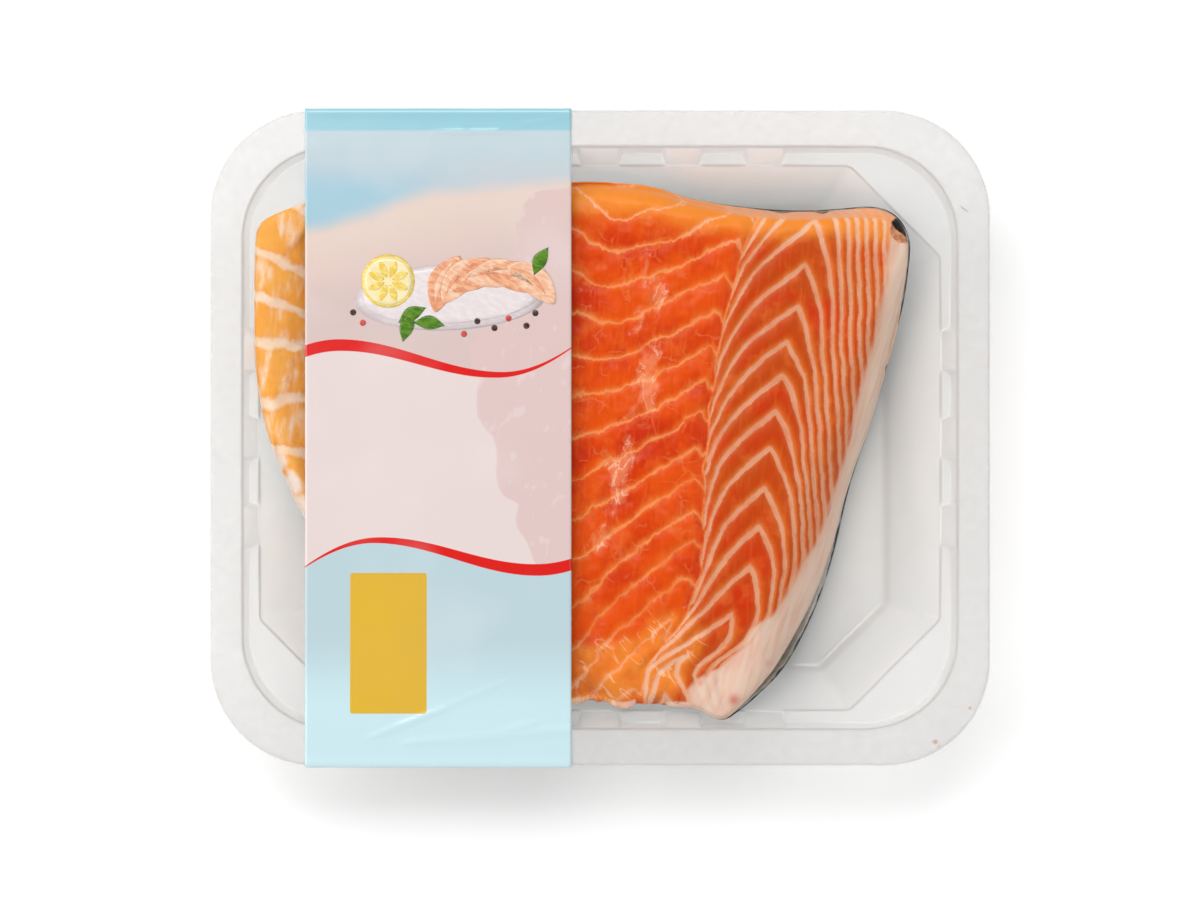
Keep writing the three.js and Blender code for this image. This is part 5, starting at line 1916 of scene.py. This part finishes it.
@dataclass(frozen=True)
class Studio:
    """A white floor, soft lights and the camera straight above the pack, as in the photograph."""

    camera_height: float = 1000.0
    sensor: float = 36.0
    far_limit: float = 50.0
    floor_size: float = 6.0
    floor_drop: float = 0.05
    sky_low: float = 0.5
    sky_high: float = 0.13
    sky_fade_start: float = 0.55
    sky_left: float = 1.5
    sky_right: float = 0.6
    clear_layers: int = 32
    # Each soft light's name, place and size in metres, and power in watts
    lights: tuple = (
        ("key", (-0.14, 0.70, 1.25), (1.1, 0.7), 12.2),
        ("fill_right", (1.05, 0.15, 1.05), (0.8, 1.0), 2.9),
        ("fill_left", (-1.20, 0.0, 0.85), (0.8, 1.0), 8.4),
        ("fill_front", (0.0, -1.1, 1.0), (1.0, 0.7), 3.1),
        ("strip", (0.62, -0.42, 1.15), (0.12, 0.45), 0.9),
    )

    def camera(self) -> None:
        """Places the camera over the frame's middle, looking straight down with +Y up."""
        held = bpy.data.cameras.new("photo_camera")
        width = PHOTO_WIDTH * MM_PER_PIXEL
        held.sensor_width = self.sensor
        held.lens = self.sensor * self.camera_height / width
        held.clip_end = self.far_limit
        made = bpy.data.objects.new("photo_camera", held)
        middle_y = (PACK_MIDDLE_PIXEL[1] - PHOTO_HEIGHT / 2) * MM_PER_PIXEL
        made.location = (0, middle_y * METRE, (self.camera_height + RIM_TOP) * METRE)
        bpy.context.scene.collection.objects.link(made)
        bpy.context.scene.camera = made

    def floor(self) -> None:
        """A plain white floor."""
        bm = bmesh.new()
        bmesh.ops.create_grid(bm, x_segments=1, y_segments=1, size=self.floor_size / METRE / 2)
        bmesh.ops.translate(bm, verts=bm.verts, vec=(0, 0, -self.floor_drop))
        made = make_object(bm, "floor")
        paint = Paint("white_floor")
        grain = paint.noise(paint.place(), 60.0)
        colour = paint.mix(grain, tint(252, 252, 252), tint(254, 254, 254))
        inputs = {"Base Color": colour, "Roughness": 0.9, "Specular IOR Level": 0.1}
        shader = paint.node("BsdfPrincipled", inputs)
        made.data.materials.append(paint.finish(shader.outputs[0]))
        made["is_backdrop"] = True

    def light(
        self, name: str, place: tuple[float, float, float], size: tuple[float, float], power: float
    ) -> None:
        """A soft rectangular light aimed at the pack."""
        held = bpy.data.lights.new(name, "AREA")
        held.shape = "RECTANGLE"
        held.size, held.size_y = size
        held.energy = power
        made = bpy.data.objects.new(name, held)
        made.location = place
        made.rotation_euler = (Vector((0, 0, 0)) - Vector(place)).to_track_quat("-Z", "Y").to_euler()
        bpy.context.scene.collection.objects.link(made)

    def world(self) -> None:
        """A soft white surround, dimmer straight above, so that flat film doesn't mirror it."""
        made = bpy.data.worlds.new("soft_box")
        made.use_nodes = True
        tree = made.node_tree
        background = next(node for node in tree.nodes if node.type == "BACKGROUND")
        way = tree.nodes.new("ShaderNodeTexCoord").outputs["Generated"]
        parts = tree.nodes.new("ShaderNodeSeparateXYZ")
        tree.links.new(way, parts.inputs[0])
        fade = tree.nodes.new("ShaderNodeMapRange")
        fade.interpolation_type = "SMOOTHSTEP"
        tree.links.new(parts.outputs[2], fade.inputs["Value"])
        fade.inputs["From Min"].default_value = self.sky_fade_start
        fade.inputs["From Max"].default_value = 1.0
        fade.inputs["To Min"].default_value = self.sky_low
        fade.inputs["To Max"].default_value = self.sky_high
        side = tree.nodes.new("ShaderNodeMapRange")
        tree.links.new(parts.outputs[0], side.inputs["Value"])
        side.inputs["From Min"].default_value = -1.0
        side.inputs["To Min"].default_value = self.sky_left
        side.inputs["To Max"].default_value = self.sky_right
        both = tree.nodes.new("ShaderNodeMath")
        both.operation = "MULTIPLY"
        tree.links.new(fade.outputs["Result"], both.inputs[0])
        tree.links.new(side.outputs["Result"], both.inputs[1])
        background.inputs["Color"].default_value = (1, 1, 1, 1)
        tree.links.new(both.outputs[0], background.inputs["Strength"])
        bpy.context.scene.world = made

    def build(self) -> None:
        """Sets the stage up."""
        self.camera()
        self.floor()
        for name, place, size, power in self.lights:
            self.light(name, place, size, power)
        self.world()
        bpy.context.scene.view_settings.view_transform = "Standard"
        bpy.context.scene.cycles.transparent_max_bounces = self.clear_layers


def main() -> None:
    """Builds the stage and the pack in order, and reports each piece."""
    logging.basicConfig(level=logging.INFO, format="%(name)s: %(message)s")
    Studio().build()
    fillet = Fillet()
    join_frame(Tray().build(), Slot.TRAY, tray_finish(), "tray")
    join_frame(LidFilm().build(), Slot.FILM, film_finish(), "lid_film")
    band = PrintedBand()
    join_frame(band.build(), Slot.PRINT, PrintFinish().material(), "printed_band")
    join_frame(Flesh(fillet).build(), Slot.FLESH, FleshFinish().material(), "fillet_flesh")
    join_frame(Skin(fillet).build(), Slot.SKIN, SkinFinish().material(), "fillet_skin")
    picture = ServingPicture(band).build()
    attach(picture, "root")
    for made in Crumbs().build():
        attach(made, "root")
    boxes = {"cad": CAD_BOX, "visual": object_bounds()}
    {name: [list(corner) for corner in box] for name, box in boxes.items()}


if __name__ == "__main__":
    main()
